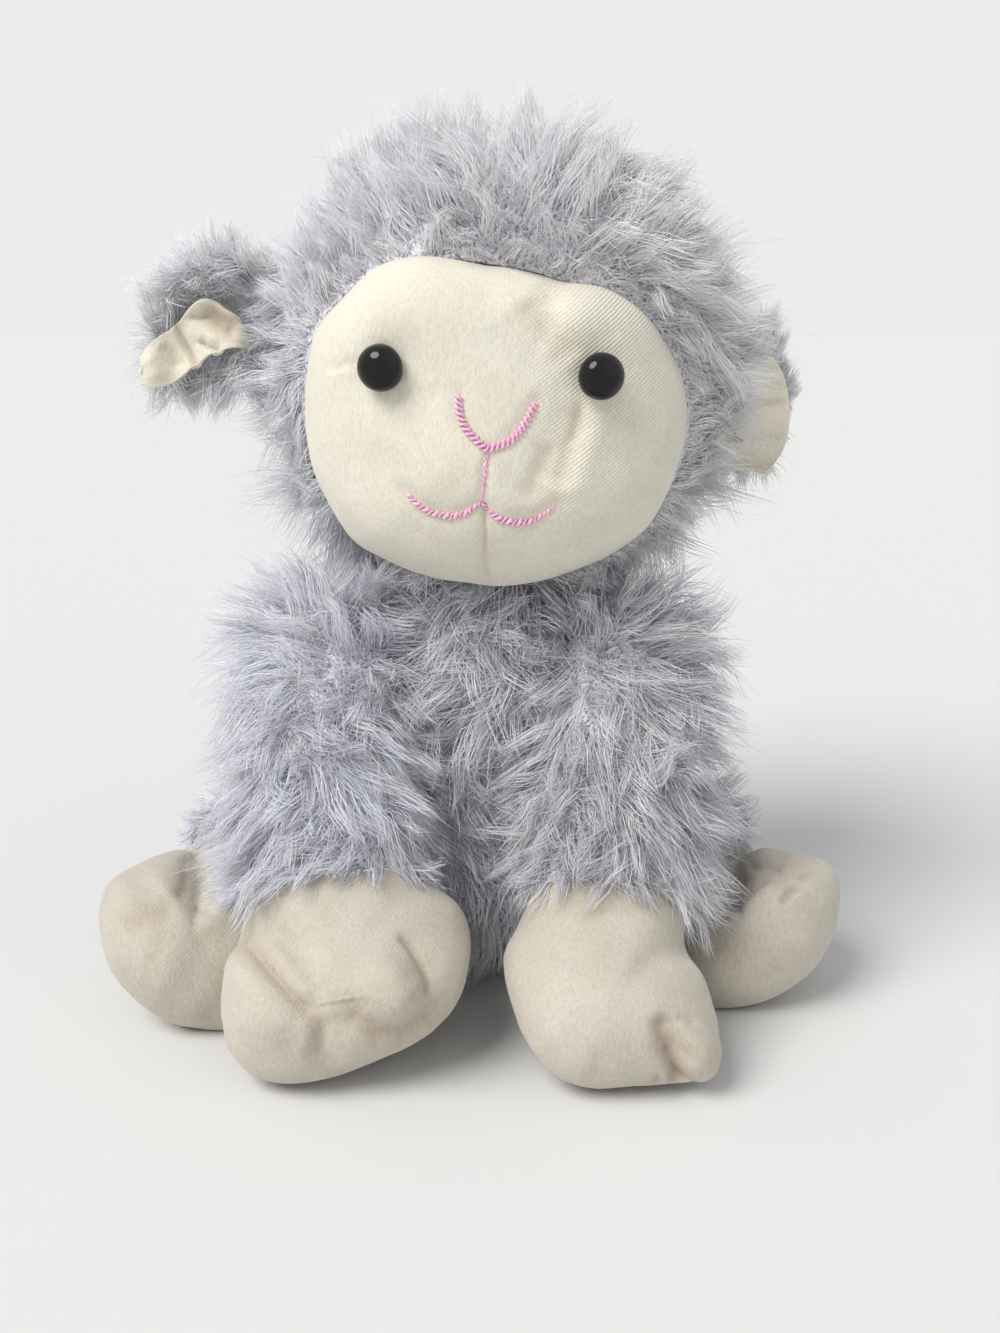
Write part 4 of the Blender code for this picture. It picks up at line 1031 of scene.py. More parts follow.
def inflate(pieces):
    # stuffs closed covers: an even coarse copy of each swells as cloth under pressure, then is rounded
    for piece in pieces:
        pushOut(piece, -cushion["startInside"])
        modified(piece, "REMESH", mode="VOXEL", voxel_size=cushion["voxel"], use_smooth_shade=True)
    before = [pointsOf(piece) for piece in pieces]
    for piece in pieces:
        cloth = piece.modifiers.new("cloth", "CLOTH")
        cloth.settings.use_pressure = True
        cloth.settings.uniform_pressure_force = cushion["pressure"]
        cloth.settings.effector_weights.gravity = 0.0
        cloth.settings.quality = cushion["quality"]
        cloth.settings.mass = cushion["mass"]
        cloth.point_cache.frame_end = cushion["frames"]
    for frameNumber in range(1, cushion["frames"] + 1):
        bpy.context.scene.frame_set(frameNumber)
    for piece, start in zip(pieces, before):
        applyModifiers(piece)
        moved = pointsOf(piece) - start
        far = np.linalg.norm(moved, axis=1, keepdims=True)
        movePoints(piece, start + moved * np.minimum(1.0, cushion["furthest"] / np.maximum(far, 1e-9)))
        subdivided(piece, 3)
    bpy.context.scene.frame_set(1)


def shapeFoot(foot, name, settings):
    side = "left" if name.startswith("left") else "right"
    kind, path = name.removeprefix(side), legs[name]["path"]
    wrist, way, whole = path[1], unit(path[2] - path[1]), kind == "Hind"
    low, high = (-0.012, 0.006) if whole else (-0.006, 0.022)
    fitOutline(foot, settings["outline"], settings["centre"],
               lambda points: ease((points - wrist) @ way, low, high), whole)
    points, seed = pointsOf(foot), 31 + len(name)
    pushOut(foot, sum(wander(points, size, seed + i) * high for i, (size, high) in enumerate(ripples)))
    pressStrokes(foot, settings["strokes"])
    keepAbove(foot, floorGap)
    limb = f"{side}_{kind.lower()}"
    settle(foot, f"{limb}_leg", "cream_plush", f"{limb}_foot_cover", cushion["fill"], footPlush)


footPieces = {}
for name in feet:
    kind = "FrontFoot" if "Front" in name else "HindFoot"
    footPieces[name] = legForm(f"{name}Foot", legs[name], kind, 0.70, 3.0, 4, 0.0, 16)
inflate(list(footPieces.values()))
print("Feet inflated")
for name, settings in feet.items():
    shapeFoot(footPieces[name], name, settings)
print("Feet made")


# Fur

fur = {
    "head": {"strands": 50000, "lockGap": 0.0046, "length": 0.0190, "thickness": 0.00011, "pieces": 6,
             "tightness": 0.78, "curl": 0.48, "wave": 0.070, "sag": 0.08, "fluff": 0.36, "seed": 101,
             "tone": 0.50, "toneLeft": 0.34, "toneTopPaintedLight": 0.28},
    "body": {"strands": 36000, "lockGap": 0.0048, "length": 0.0190, "thickness": 0.00011, "pieces": 4,
             "tightness": 0.78, "curl": 0.50, "wave": 0.075, "sag": 0.12, "fluff": 0.36, "seed": 102,
             "tone": 0.64},
    "sleeve": {"strands": 17000, "lockGap": 0.0046, "length": 0.0200, "thickness": 0.00011, "pieces": 2,
               "tightness": 0.80, "curl": 0.42, "wave": 0.065, "sag": 0.12, "fluff": 0.34, "seed": 103,
               "tone": 0.50},
    "thigh": {"strands": 7200, "lockGap": 0.0048, "length": 0.0165, "thickness": 0.00011, "pieces": 1,
              "tightness": 0.72, "curl": 0.30, "wave": 0.050, "sag": 0.12, "fluff": 0.30, "seed": 105,
              "tone": 0.50},
    "ear": {"strands": 8400, "lockGap": 0.0036, "length": 0.0165, "thickness": 0.00012, "pieces": 1,
            "tightness": 0.72, "curl": 0.26, "wave": 0.045, "sag": 0.02, "fluff": 0.24, "seed": 107,
            "tone": 0.90},
    "tail": {"strands": 3000, "lockGap": 0.0042, "length": 0.0150, "thickness": 0.00011, "pieces": 1,
             "tightness": 0.72, "curl": 0.30, "wave": 0.050, "sag": 0.15, "fluff": 0.30, "seed": 109,
             "tone": 0.50},
    "neck": {"strands": 6500, "lockGap": 0.0046, "length": 0.0220, "thickness": 0.00011, "pieces": 1,
             "tightness": 0.74, "curl": 0.34, "wave": 0.055, "sag": 0.12, "fluff": 0.30, "seed": 110,
             "tone": 0.58},
}
strandShare, strandWiden = ((1.0, 1.0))
pile = {
    "crown": 0.2620, "room": 0.0066,  # the height where tips start to bend down, and how far they still rise
    "rootLift": 0.0004, "tipLift": 0.0024, "floorLift": 0.0004,  # how far strands stay off skin and floor
}
whorl = 0.010  # size of the slow turns in the fur's lie
lockLook = {"stray": 0.36, "leastLift": 0.25, "lengths": (0.74, 1.18), "bends": (0.2, 1.0),
            "turns": (0.7, 1.3), "toneSpread": 0.08}
strandLook = {  # pairs that name two kinds are for fluff and for the strands of a lock
    "spareRoots": 2.6, "combShare": 0.45, "lockShare": 0.55, "loose": (0.55, 0.16), "ownBend": (0.34, 0.08),
    "gathered": (0.25, 1.0), "width": (0.85, 1.0), "lengths": (0.66, 1.06), "fluffLengths": (0.45, 0.70),
    "strays": 0.05, "strayLength": 1.12, "strayPull": 0.15, "pulls": (0.75, 1.1), "widths": (0.75, 1.25),
    "glintHairs": 0.12, "glintHairWidth": 1.3, "glintHairTones": (0.86, 1.0), "tones": (0.02, 0.88),
    "toneSpread": 0.15, "toneWander": 0.08, "rootDepth": 0.0006,
}
strandRows = (0.0, 0.26, 0.52, 0.78, 1.0)
strandTaper = (1.0, 1.0, 0.88, 0.62)


def scatter(skin, count, chance):  # random places, even over the skin, their normals, and the skin's area
    skin.data.calc_loop_triangles()
    triangles = skin.data.loop_triangles
    corners = np.zeros(len(triangles) * 3, np.int32)
    triangles.foreach_get("vertices", corners)
    corners = corners.reshape(-1, 3)
    points, normals = pointsOf(skin), normalsOf(skin)
    a, b, c = (points[corners[:, k]] for k in range(3))
    area = np.linalg.norm(np.cross(b - a, c - a), axis=1)
    corner = corners[chance.choice(len(corners), size=count, p=area / area.sum())]
    u, v = chance.uniform(size=(2, count))
    flip = u + v > 1
    u, v = np.where(flip, 1 - u, u), np.where(flip, 1 - v, v)
    shares = np.stack([1 - u - v, u, v], 1)[:, :, None]
    return (points[corner] * shares).sum(1), unit((normals[corner] * shares).sum(1)), area.sum() / 2


def combed(points, normals, raw, lift, swirl, seed):
    # lays a rough direction on the skin, turns it in slow whorls, and lifts it off the skin
    flat = unit(raw - normals * (raw * normals).sum(1, keepdims=True))
    turn = (swirl * wander(points, whorl, seed))[:, None]
    flat = flat * np.cos(turn) + np.cross(normals, flat) * np.sin(turn)
    return unit(flat + normals * np.reshape(lift, (-1, 1)))


def makeLocks(skin, area, settings, comb, lengthShare, chance):
    count = int(area / settings["lockGap"] ** 2)
    roots, normals, area = scatter(skin, count, chance)
    way = unit(comb(roots, normals) + lockLook["stray"] * chance.normal(size=(count, 3)))
    facing = (way * normals).sum(1)
    way = unit(way + normals * np.maximum(0.0, lockLook["leastLift"] - facing)[:, None])
    length = settings["length"] * chance.uniform(*lockLook["lengths"], count) * lengthShare(roots)
    curl = chance.normal(size=(count, 3))
    curl = unit(curl - way * (curl * way).sum(1, keepdims=True))
    bend = curl * settings["curl"] * chance.uniform(*lockLook["bends"], count)[:, None]
    return {
        "root": roots, "way": way, "length": length, "curl": curl, "across": np.cross(way, curl),
        "bend": bend + vec(0, 0, -settings["sag"]), "turns": chance.uniform(*lockLook["turns"], count),
        "phase": chance.uniform(0, 2 * math.pi, count),
        "tone": chance.normal(0.0, lockLook["toneSpread"], count),
    }


def nearest(spots, points):
    tree = kdtree.KDTree(len(spots))
    for i, spot in enumerate(spots):
        tree.insert(spot, i)
    tree.balance()
    return np.array([tree.find(point)[1] for point in points])


def strandSpot(t, roots, around, way, length, bend, pull, lock, wave):
    # where the strands are at a share t of their length, kept off the skin, the floor and the crown's limit
    along = (length * t)[:, None]
    own = roots + way * along + bend * along * t
    drawn = lock["root"] + lock["way"] * along + lock["bend"] * along * t
    spot = own + (drawn - own) * (pull * (t ** 1.2))[:, None]
    spin = (2 * math.pi * lock["turns"] * t + lock["phase"])[:, None]
    sway = wave * length[:, None] * t ** 0.8
    spot = spot + sway * (lock["curl"] * np.cos(spin) + lock["across"] * np.sin(spin)) * (t > 0)
    height = ((spot - roots) * around).sum(1)
    least = pile["rootLift"] + pile["tipLift"] * t
    spot = spot + around * np.maximum(0.0, least - height)[:, None] * (t > 0)
    spot[:, 2] = np.maximum(spot[:, 2], skinGap + pile["floorLift"] * t)
    over = np.maximum(0.0, spot[:, 2] - pile["crown"])
    spot[:, 2] -= over - pile["room"] * np.tanh(over / pile["room"])
    return spot


def growFur(label, skin, body, node, settings, comb, lengthShare, keep, warmth):
    # locks of strands drawn together towards their tips, over shorter and looser fluff
    look, chance = strandLook, np.random.default_rng(settings["seed"])
    count = int(settings["strands"] * strandShare)
    roots, around, area = scatter(skin, int(count * look["spareRoots"]), chance)
    wanted = keep(roots, around) > chance.uniform(size=len(roots))
    roots, around = roots[wanted][:count], around[wanted][:count]
    count = len(roots)
    locks = makeLocks(skin, area, settings, comb, lengthShare, chance)
    near = nearest(locks["root"], roots)
    lock = {what: values[near] for what, values in locks.items()}
    fluffy = chance.uniform(size=count) < settings["fluff"]
    stray = chance.uniform(size=count) < look["strays"]
    loose = np.where(fluffy, *look["loose"])[:, None] * chance.normal(size=roots.shape)
    way = unit(comb(roots, around) * look["combShare"] + lock["way"] * look["lockShare"] + loose)
    length = lock["length"] * chance.uniform(*look["lengths"], count)
    length = np.where(fluffy, length * chance.uniform(*look["fluffLengths"], count), length)
    length = np.where(stray, length * look["strayLength"], length)
    pull = settings["tightness"] * chance.uniform(*look["pulls"], count)
    pull = pull * np.where(fluffy, *look["gathered"]) * np.where(stray, look["strayPull"], 1.0)
    bend = lock["bend"] + np.where(fluffy, *look["ownBend"])[:, None] * chance.normal(size=roots.shape)
    rows = np.array([strandSpot(t, roots, around, way, length, bend, pull, lock, settings["wave"])
                     for t in strandRows])
    rows[0] -= around * look["rootDepth"]
    last = len(rows) - 1
    ahead = unit(np.array([rows[min(i + 1, last)] - rows[max(i - 1, 0)] for i in range(last + 1)]))
    aside = unit(np.cross(ahead, chance.normal(size=roots.shape)))
    across = np.cross(ahead, aside)
    # thicker pale strands: guard hairs, whose pale tone also paints the fur's glints as a painted highlight
    glintHair = (chance.uniform(size=count) < look["glintHairs"]) & ~fluffy
    thick = settings["thickness"] * chance.uniform(*look["widths"], count)
    thick = thick * np.where(glintHair, look["glintHairWidth"], 1.0)
    thick = thick * np.where(fluffy, *look["width"]) * strandWiden
    verts = np.empty((count, 3 * last + 1, 3))
    for row in range(last):
        for k in range(3):
            turn = 2 * math.pi * k / 3
            offset = aside[row] * math.cos(turn) + across[row] * math.sin(turn)
            verts[:, row * 3 + k] = rows[row] + offset * (thick * strandTaper[row])[:, None]
    verts[:, 3 * last] = rows[last]
    tone = chance.normal(settings["tone"], look["toneSpread"], count) + lock["tone"]
    tone = tone + look["toneWander"] * wander(roots, 0.006, settings["seed"] + 5)
    tone = tone + settings.get("toneLeft", 0.0) * ease(roots[:, 0], -0.030, 0.050)
    # painted light: strands on the crown are paler, for the light falling on the top of the head
    tone = tone + settings.get("toneTopPaintedLight", 0.0) * ease(roots[:, 2], 0.205, 0.235)
    tone = np.where(glintHair, chance.uniform(*look["glintHairTones"], count), np.clip(tone, *look["tones"]))
    warm = chance.uniform(size=count) < warmth(roots)
    # cool tones lie on the left half of the material's strip, warm ones on its right
    u = np.where(warm, 0.515 + 0.48 * tone, 0.005 + 0.48 * tone)
    middle = roots.mean(0)
    order = np.argsort(np.arctan2(roots[:, 0] - middle[0], middle[1] - roots[:, 1]))
    for i, group in enumerate(np.array_split(order, settings["pieces"])):
        name = label if settings["pieces"] == 1 else f"{label}{i + 1}"
        settle(strandPiece(name, verts[group], u[group]), body, "lilac_fur", node, None, lilacFur)


def strandShape():
    # one strand: rings of three corners, closed at the root, drawn to a point at the tip
    last = len(strandRows) - 1
    tip = 3 * (last - 1)
    faces = gridFaces(last, 3, upFirst=False) + [(tip + k, tip + (k + 1) % 3, 3 * last) for k in range(3)]
    heights = [0.01 + 0.98 * t for t in strandRows[:-1] for k in range(3)] + [0.99]
    return faces + [(2, 1, 0)], heights


strandFaces, strandHeights = strandShape()


def strandPiece(name, verts, u):
    count, each = len(verts), len(strandHeights)
    mesh = bpy.data.meshes.new(name)
    mesh.vertices.add(count * each)
    mesh.vertices.foreach_set("co", verts.astype(np.float32).ravel())
    corners = np.array([v for face in strandFaces for v in face], np.int32)
    sizes = np.array([len(face) for face in strandFaces], np.int32)
    starts = np.concatenate([[0], np.cumsum(sizes)[:-1]])

    def repeated(values, stride):
        return (np.arange(count)[:, None] * stride + values[None, :]).astype(np.int32).ravel()

    mesh.loops.add(count * len(corners))
    mesh.loops.foreach_set("vertex_index", repeated(corners, each))
    mesh.polygons.add(count * len(sizes))
    mesh.polygons.foreach_set("loop_start", repeated(starts, len(corners)))
    mesh.polygons.foreach_set("use_smooth", np.ones(count * len(sizes), bool))
    uv = np.empty((count, len(corners), 2), np.float32)
    uv[:, :, 0] = u[:, None]
    uv[:, :, 1] = np.array(strandHeights)[corners]
    mesh.uv_layers.new(name="OFBake").data.foreach_set("uv", uv.ravel())
    mesh.update(calc_edges=True)
    return shown(name, mesh)


def furred(label, skin, body, node, fill, settings, comb, lengthShare, keep, warmth, furBody=None, wall=0.0):
    growFur(label, skin, furBody or body, node, settings, comb, lengthShare, keep, warmth)
    if wall:
        thickened(skin, wall)
    settle(skin, body, "lilac_fur", node, fill, knitBacking)


# the hood's fur

def leftEarRoot(points):  # where the hood's locks sweep out over the ear
    return np.exp(-((points[:, 2] - 0.178) / 0.024) ** 2) * ease(points[:, 0], 0.050, 0.064)


def headComb(points, normals):
    x, y, z = points.T
    ear, crown = leftEarRoot(points), ease(z, 0.205, 0.240)
    away = unit((points - vec(face["x"], 0, face["z"] + 0.004)) * vec(1, 0, 1))
    backness = ease(y, -0.005, 0.040)[:, None]
    raw = away * (1 - backness) + vec(0, 0.25, -1) * backness
    raw = raw + vec(0.25, 0.15, 0) * ease(z, 0.20, 0.235)[:, None] + vec(1.3, -0.10, 0.25) * ear[:, None]
    rim = (1 - ease(faceReach(x, z), 1.0, 1.2)) * (y < 0)
    return combed(points, normals, raw, 0.95 + 0.35 * crown - 0.35 * rim, 1.15 - 0.6 * ear, 11)


def headLength(points):
    x, y, z = points.T
    edge, front = ease(faceReach(x, z), 1.0, 1.22), ease(-y, -0.006, 0.006)
    side = ease(np.abs(x - head["centre"][0]), 0.035, 0.056)
    under, back, top = ease(-z, -0.168, -0.142), ease(y, 0.010, 0.040), ease(z, 0.21, 0.24)
    low = ease(-x, 0.020, 0.040) * ease(-z, -0.175, -0.155)
    extra = 0.12 * top + 0.10 * side + 0.55 * under - 0.30 * back * (1 - under)
    share = 1.0 - front * (1.0 - (0.42 + 0.58 * edge))
    return share * (1.0 + extra + 0.42 * low + 0.34 * leftEarRoot(points))


def headKeep(points, normals):
    x, y, z = points.T
    reach, front = faceReach(x, z), y < 0
    # the photograph shows bare knit above the brow on the sheep's left
    bare = np.exp(-((x - 0.020) ** 2 + (z - 0.2235) ** 2) / 0.0060 ** 2) * front
    rim = np.where(front & (reach < 1.12), 1.0, 0.78)
    return np.where(front & (reach < 1.002), 0.0, 1.0) * (1 - 0.80 * bare) * rim


def headWarmth(points):
    return 0.42 + 0.30 * ease(points[:, 0], 0.0, 0.06)


furred("headFur", hoodSkin, "head", "head_cover", 0.8, fur["head"], headComb, headLength, headKeep,
       headWarmth, wall=head["wall"])
print("Hood made")


# the body's fur

def bodyComb(points, normals):
    x, y, z = points.T
    upper = ease(z, 0.100, 0.116)[:, None]
    outward = unit((points - vec(neck["x"], neck["y"], 0)) * vec(1, 1, 0))
    raw = np.stack([x * 9.0, np.zeros(len(x)), -np.ones(len(x))], 1)
    raw = raw * (1 - upper) + (outward * 0.6 + vec(0, 0, 0.5)) * upper
    return combed(points, normals, raw, 0.90 + 0.45 * ease(z, 0.08, 0.11), 1.2, 12)


def bodyKeep(points, normals):
    x, y, z = points.T
    neckHole = np.hypot(x - neck["x"], y - neck["y"]) < 0.020
    return np.where(neckHole & (z > 0.1), 0.0, 1.0) * (0.15 + 0.85 * ease(z, 0.0, 0.006))


def bodyLength(points):
    x, y, z = points.T
    chest = ease(z, 0.060, 0.080) * ease(-y, -0.010, 0.010)
    return 0.50 + 0.50 * ease(z, 0.0, 0.020) + 0.12 * ease(z, 0.085, 0.105) + 0.38 * chest


def bodyWarmth(points):
    return 0.12 + 0.30 * ease(points[:, 0], 0.01, 0.05)


furred("bodyFur", bodySkin, "torso", "body_cover", 0.75, fur["body"], bodyComb, bodyLength, bodyKeep,
       bodyWarmth)
print("Body made")


# the sleeves' fur

def sideFur(part, sign, **changes):  # the toy's left has its own seed
    return dict(fur[part], seed=fur[part]["seed"] + (sign > 0), **changes)


def makeSleeve(side, sign):
    start, wrist, toe = legs[f"{side}Front"]["path"][:3]
    skin, cut = sleeveSkin(f"{side}Front", "Front", 1.25)
    centre, way = start + (wrist - start) * 0.5, unit(toe - start)

    def comb(points, normals):
        outer = ease(sign * (points[:, 0] - centre[0]), 0.0, 0.014)
        low, top = ease(-points[:, 2], -0.085, -0.055), ease(points[:, 2], 0.095, 0.120)
        raw = way + unit(points - centre) * 0.35
        raw[:, 0] += sign * (0.25 + 0.45 * outer)
        raw = raw * (1 - 0.7 * top[:, None]) + vec(sign * 0.6, 0, 0.5) * top[:, None]
        lift = 0.90 + 0.5 * top - 0.25 * low
        wild, calm = (combed(points, normals, raw, lift, swirl, 13 + int(sign)) for swirl in (1.15, 0.35))
        orderly = np.clip(0.8 * outer + 0.4 * low, 0, 1)[:, None]
        return unit(wild * (1 - orderly) + calm * orderly)

    def lengthShare(points):
        end = ease(-((points - wrist) @ cut), 0.0, 0.018)
        outer = ease(sign * (points[:, 0] - start[0]), 0.0, 0.012)
        return 0.66 + 0.34 * end + 0.16 * outer + 0.42 * ease(points[:, 2], 0.100, 0.122)

    def keep(points, normals):  # not deep inside the body
        away = (points - vec(0, torso["centreY"], 0.045)) / vec(0.050, 0.040, 0.075)
        return np.where((away ** 2).sum(1) < 1.0, 0.0, 1.0)

    body = f"{side}_front_leg"
    # painted shade: the sleeve on the toy's left, away from the key lamp and under the head's shadow, gets
    # darker strands
    settings = sideFur("sleeve", sign, tone=fur["sleeve"]["tone"] - 0.30 * (sign > 0))
    furred(f"{side}FrontLegFur", skin, body, f"{body}_cover", 0.7, settings, comb, lengthShare, keep,
           lambda points: 0.62 if sign > 0 else 0.14)


def makeThigh(side, sign):
    hip, ankle, toe = legs[f"{side}Hind"]["path"][:3]
    skin, cut = sleeveSkin(f"{side}Hind", "Hind", 1.5)
    keepAbove(skin, skinGap)

    def comb(points, normals):
        raw = np.tile(unit(toe - hip), (len(points), 1)) + vec(0, 0, -0.2)
        return combed(points, normals, raw, 0.85, 0.8, 17 + int(sign))

    def lengthShare(points):
        return 0.62 + 0.38 * ease(-((points - ankle) @ cut), 0.0, 0.015)

    def keep(points, normals):
        inner = np.abs(points[:, 0]) < torso["flank"] - 0.002
        return np.where(inner, 0.0, 1.0) * (0.2 + 0.8 * ease(points[:, 2], 0.0, 0.006))

    body = f"{side}_hind_leg"
    furred(f"{side}HindLegFur", skin, body, f"{body}_cover", 0.7, sideFur("thigh", sign), comb, lengthShare,
           keep, lambda points: 0.6 if sign > 0 else 0.15)


for makeOne in (makeSleeve, makeThigh):
    for side, sign in toySides.items():
        makeOne(side, sign)
print("Sleeves made")


# the neck between collar and hood

def makeNeck():
    middle, radius = vec(neck["x"], neck["y"], 0), neck["radius"]
    rings = [ring(middle + vec(0, 0, level), vec(1, 0, 0), vec(0, 1, 0), radius, radius, neck["sides"])
             for level in np.linspace(neck["low"], neck["high"], neck["rings"])]
    poles = middle + vec(0, 0, neck["low"] - neck["tuck"]), middle + vec(0, 0, neck["high"] + neck["tuck"])
    skin = ringForm("neckSkin", rings, poles, 1)

    def comb(points, normals):
        return combed(points, normals, np.tile(vec(0, 0, -1), (len(points), 1)), 1.5, 0.9, 19)

    def keep(points, normals):
        return ((points[:, 2] > 0.108) & (points[:, 2] < 0.131)).astype(float)

    furred("neckFur", skin, "neck", "neck_filling", 0.8, fur["neck"], comb, lambda points: 1.0, keep,
           bodyWarmth, furBody="torso")


makeNeck()


# ears

ears = {
    "right": {
        "first": [(256, 336), (246, 328), (234, 319), (216, 307), (202, 300), (189, 309), (176, 326),
                  (162, 334), (148, 344), (140, 357), (138, 368)],
        "second": [(256, 348), (248, 348), (237, 347), (224, 350), (209, 356), (196, 365), (186, 373),
                   (174, 383), (160, 388), (148, 387), (140, 380)],
        "furEdge": 224, "y": -0.004, "cup": 0.0010, "sweep": 0.002, "tilt": 0.0, "rootDrop": 0.010,
        "lean": 0.45, "shorter": 0.15, "warmth": 0.4,
        "strokes": [
            stroke([(208, 314), (218, 322), (232, 328)], 8.0, 0.0036, taper=False),
            stroke([(188, 315), (200, 318), (210, 316)], 3.2, 0.0012),
            stroke([(175, 324), (183, 340), (190, 353), (195, 364)], 2.6, 0.0016, 0.0005, False),
            stroke([(198, 340), (208, 347), (222, 352)], 2.6, 0.0015, 0.0004),
            stroke([(160, 344), (172, 354), (179, 370)], 5.0, 0.0010),
            stroke([(151, 360), (156, 372)], 14.0, -0.0032),
            stroke([(196, 332), (212, 338)], 9.0, -0.0011),
        ],
    },
    "left": {
        "first": [(712, 356), (708, 374), (706, 396), (706, 420), (708, 446), (714, 466)],
        "second": [(770, 358), (784, 373), (790, 395), (791, 418), (785, 448), (768, 472)],
        "furEdge": None, "y": 0.0040, "cup": 0.0010, "sweep": 0.0, "tilt": 0.0175, "rootDrop": 0.0,
        "lean": 0.10, "shorter": 0.62, "warmth": 0.55,
        # the furred back ends behind the lining's outer edge: rows of pixels and the farthest column in each
        "backRows": [300, 353, 371, 395, 420, 448, 473], "backColumns": [755, 766, 777, 784, 785, 777, 757],
        "strokes": [
            stroke([(750, 398), (768, 401), (788, 399)], 4.0, 0.0012, 0.0004),
            stroke([(748, 440), (764, 434), (784, 437)], 4.0, 0.0009),
            stroke([(768, 372), (774, 384)], 8.0, 0.0012),
        ],
    },
}
earBuild = {"columns": 72, "rows": 48, "voxel": 0.0016, "drawnIn": 0.0026, "clear": 0.0030, "wall": 0.0012,
            "fill": 0.3}


def earSheet(name, settings):
    # a cupped leaf between two edges that pass through the photographed pixels
    first, second = np.array(settings["first"], float), np.array(settings["second"], float)
    columns, rows, points = earBuild["columns"], earBuild["rows"], []
    for i in range(columns + 1):
        t = i / columns
        high, low = (smoothPath(edge, t * (len(edge) - 1)) for edge in (first, second))
        for j in range(rows + 1):
            s = j / rows
            bowl = settings["cup"] * (1 - (2 * s - 1) ** 2) * (1 - 0.55 * t)
            round = math.sqrt(max(0.0, 1 - abs(2 * t - 1) ** 2.4))  # draws the ends in, as seen from the side
            y = settings["y"] + bowl + settings["sweep"] * t + settings["tilt"] * s * round
            y += settings["rootDrop"] * max(0.0, 1 - t / 0.28) ** 2
            points.append(pixelAtDepth(high + (low - high) * s, y))
    piece = meshPiece(name, points, gridFaces(columns + 1, rows + 1, closed=False))
    with reworked(piece) as work:
        work.normal_update()
        if sum(f.normal.y for f in work.faces) > 0:
            bmesh.ops.reverse_faces(work, faces=work.faces)
    return piece


def earBack(side, settings):  # the CAD leaf's own outer form, drawn in a little
    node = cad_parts[f"{side}_ear_cover"]
    back = merged(meshPiece(f"{side}EarBack", pointsOf(node), facesOf(node)))
    modified(back, "REMESH", mode="VOXEL", voxel_size=earBuild["voxel"])
    evened(back, 6)
    pushOut(back, -earBuild["drawnIn"])
    if "backRows" in settings:
        points = pointsOf(back)
        pixels, depth = pixelsOf(points)
        over = pixels[:, 0] - np.interp(pixels[:, 1], settings["backRows"], settings["backColumns"])
        movePoints(back, points - np.maximum(0.0, over * depth / focal)[:, None] * rightward)
        evened(back, 4)
    return back


def layOver(lining, leaf, furEdge):  # brings the lining in front of the leaf wherever the leaf would hide it
    spots = pointsOf(lining)
    for i, spot in enumerate(spots):
        way = unit(spot - eyePoint)
        hit, normal, index, gap = leaf.ray_cast(Vector(eyePoint), Vector(way))
        if hit is not None and gap - earBuild["clear"] < np.linalg.norm(spot - eyePoint):
            rooted = furEdge and pixelsOf(spot[None])[0][0, 0] > furEdge
            spots[i] = spot if rooted else eyePoint + way * (gap - earBuild["clear"])
    movePoints(lining, spots)


def makeEar(side, sign):
    settings, body = ears[side], f"{side}_ear"
    lining = earSheet(f"{side}EarLining", settings)
    back = earBack(side, settings)
    leaf = skinTree(back)[0]
    layOver(lining, leaf, settings["furEdge"])
    evened(lining, 8)
    layOver(lining, leaf, settings["furEdge"])
    pushOut(lining, wander(pointsOf(lining), 0.005, 41) * 0.0004)
    pressStrokes(lining, settings["strokes"])
    thickened(lining, earBuild["wall"])
    settle(lining, body, "cream_plush", f"{body}_lining", earBuild["fill"], earPlush)
    sheet = skinTree(lining)[0]
    points = pointsOf(back)
    middle, ends = points.mean(0), (points.min(0)[0], points.max(0)[0])
    inner, outer = ends if sign > 0 else ends[::-1]
    root = vec(inner, points[:, 1].mean(), points[:, 2].mean())
    axis = unit(vec(outer, middle[1], middle[2] - 0.004) - root)

    def comb(points, normals):
        along = (points - root) @ axis
        aside = points - root - along[:, None] * axis
        aside[:, 1] = 0.0
        raw = unit(aside) * 0.9 + axis * settings["lean"] + vec(0, 0, 0.35)
        return combed(points, normals, raw, 0.42, 0.5, 23 + int(sign))

    def lengthShare(points):
        return 1.0 - settings["shorter"] * ease((points - root) @ axis, 0.014, 0.032)

    def keep(points, normals):  # not where the lining lies
        covered = np.array([sheet.find_nearest(Vector(point))[3] for point in points]) < 0.0048
        covered &= normals[:, 1] < 0.1
        if settings["furEdge"]:
            covered &= pixelsOf(points)[0][:, 0] < settings["furEdge"]
        return np.where(covered, 0.0, 1.0)

    furred(f"{side}EarFur", back, body, f"{body}_cover", earBuild["fill"], sideFur("ear", sign), comb,
           lengthShare, keep, lambda points: settings["warmth"])


for side, sign in toySides.items():
    makeEar(side, sign)
print("Ears made")


# tail

tail = {
    "root": (0.0, 0.0685, 0.038), "length": 0.024, "halfWidth": 0.0075, "flatness": 0.8, "leanDegrees": 38.0,
    "inside": 0.006, "sides": 12,
    # places along it, and the width there as a share
    "rings": [(0.08, 0.62), (0.3, 0.8), (0.55, 1.0), (0.8, 0.92), (0.95, 0.55)],
}


def makeTail():
    lean = math.radians(tail["leanDegrees"])
    way, aside = vec(0, math.cos(lean), -math.sin(lean)), vec(1, 0, 0)
    start, length = vec(*tail["root"]) - way * tail["inside"], tail["length"] + tail["inside"]
    rings = [ring(start + way * (t * length), aside, np.cross(aside, way), wide * tail["halfWidth"],
                  tail["flatness"] * wide * tail["halfWidth"], tail["sides"]) for t, wide in tail["rings"]]
    skin = ringForm("tailSkin", rings, (start, start + way * length), 2)

    def comb(points, normals):
        return combed(points, normals, np.tile(way, (len(points), 1)), 0.5, 0.5, 29)

    furred("tailFur", skin, "tail", "tail_cover", 0.6, fur["tail"], comb, lambda points: 1.0,
           lambda points, normals: (points[:, 1] > 0.066).astype(float), bodyWarmth)


makeTail()
print("Tail made")


# Stuffing and pellet bag

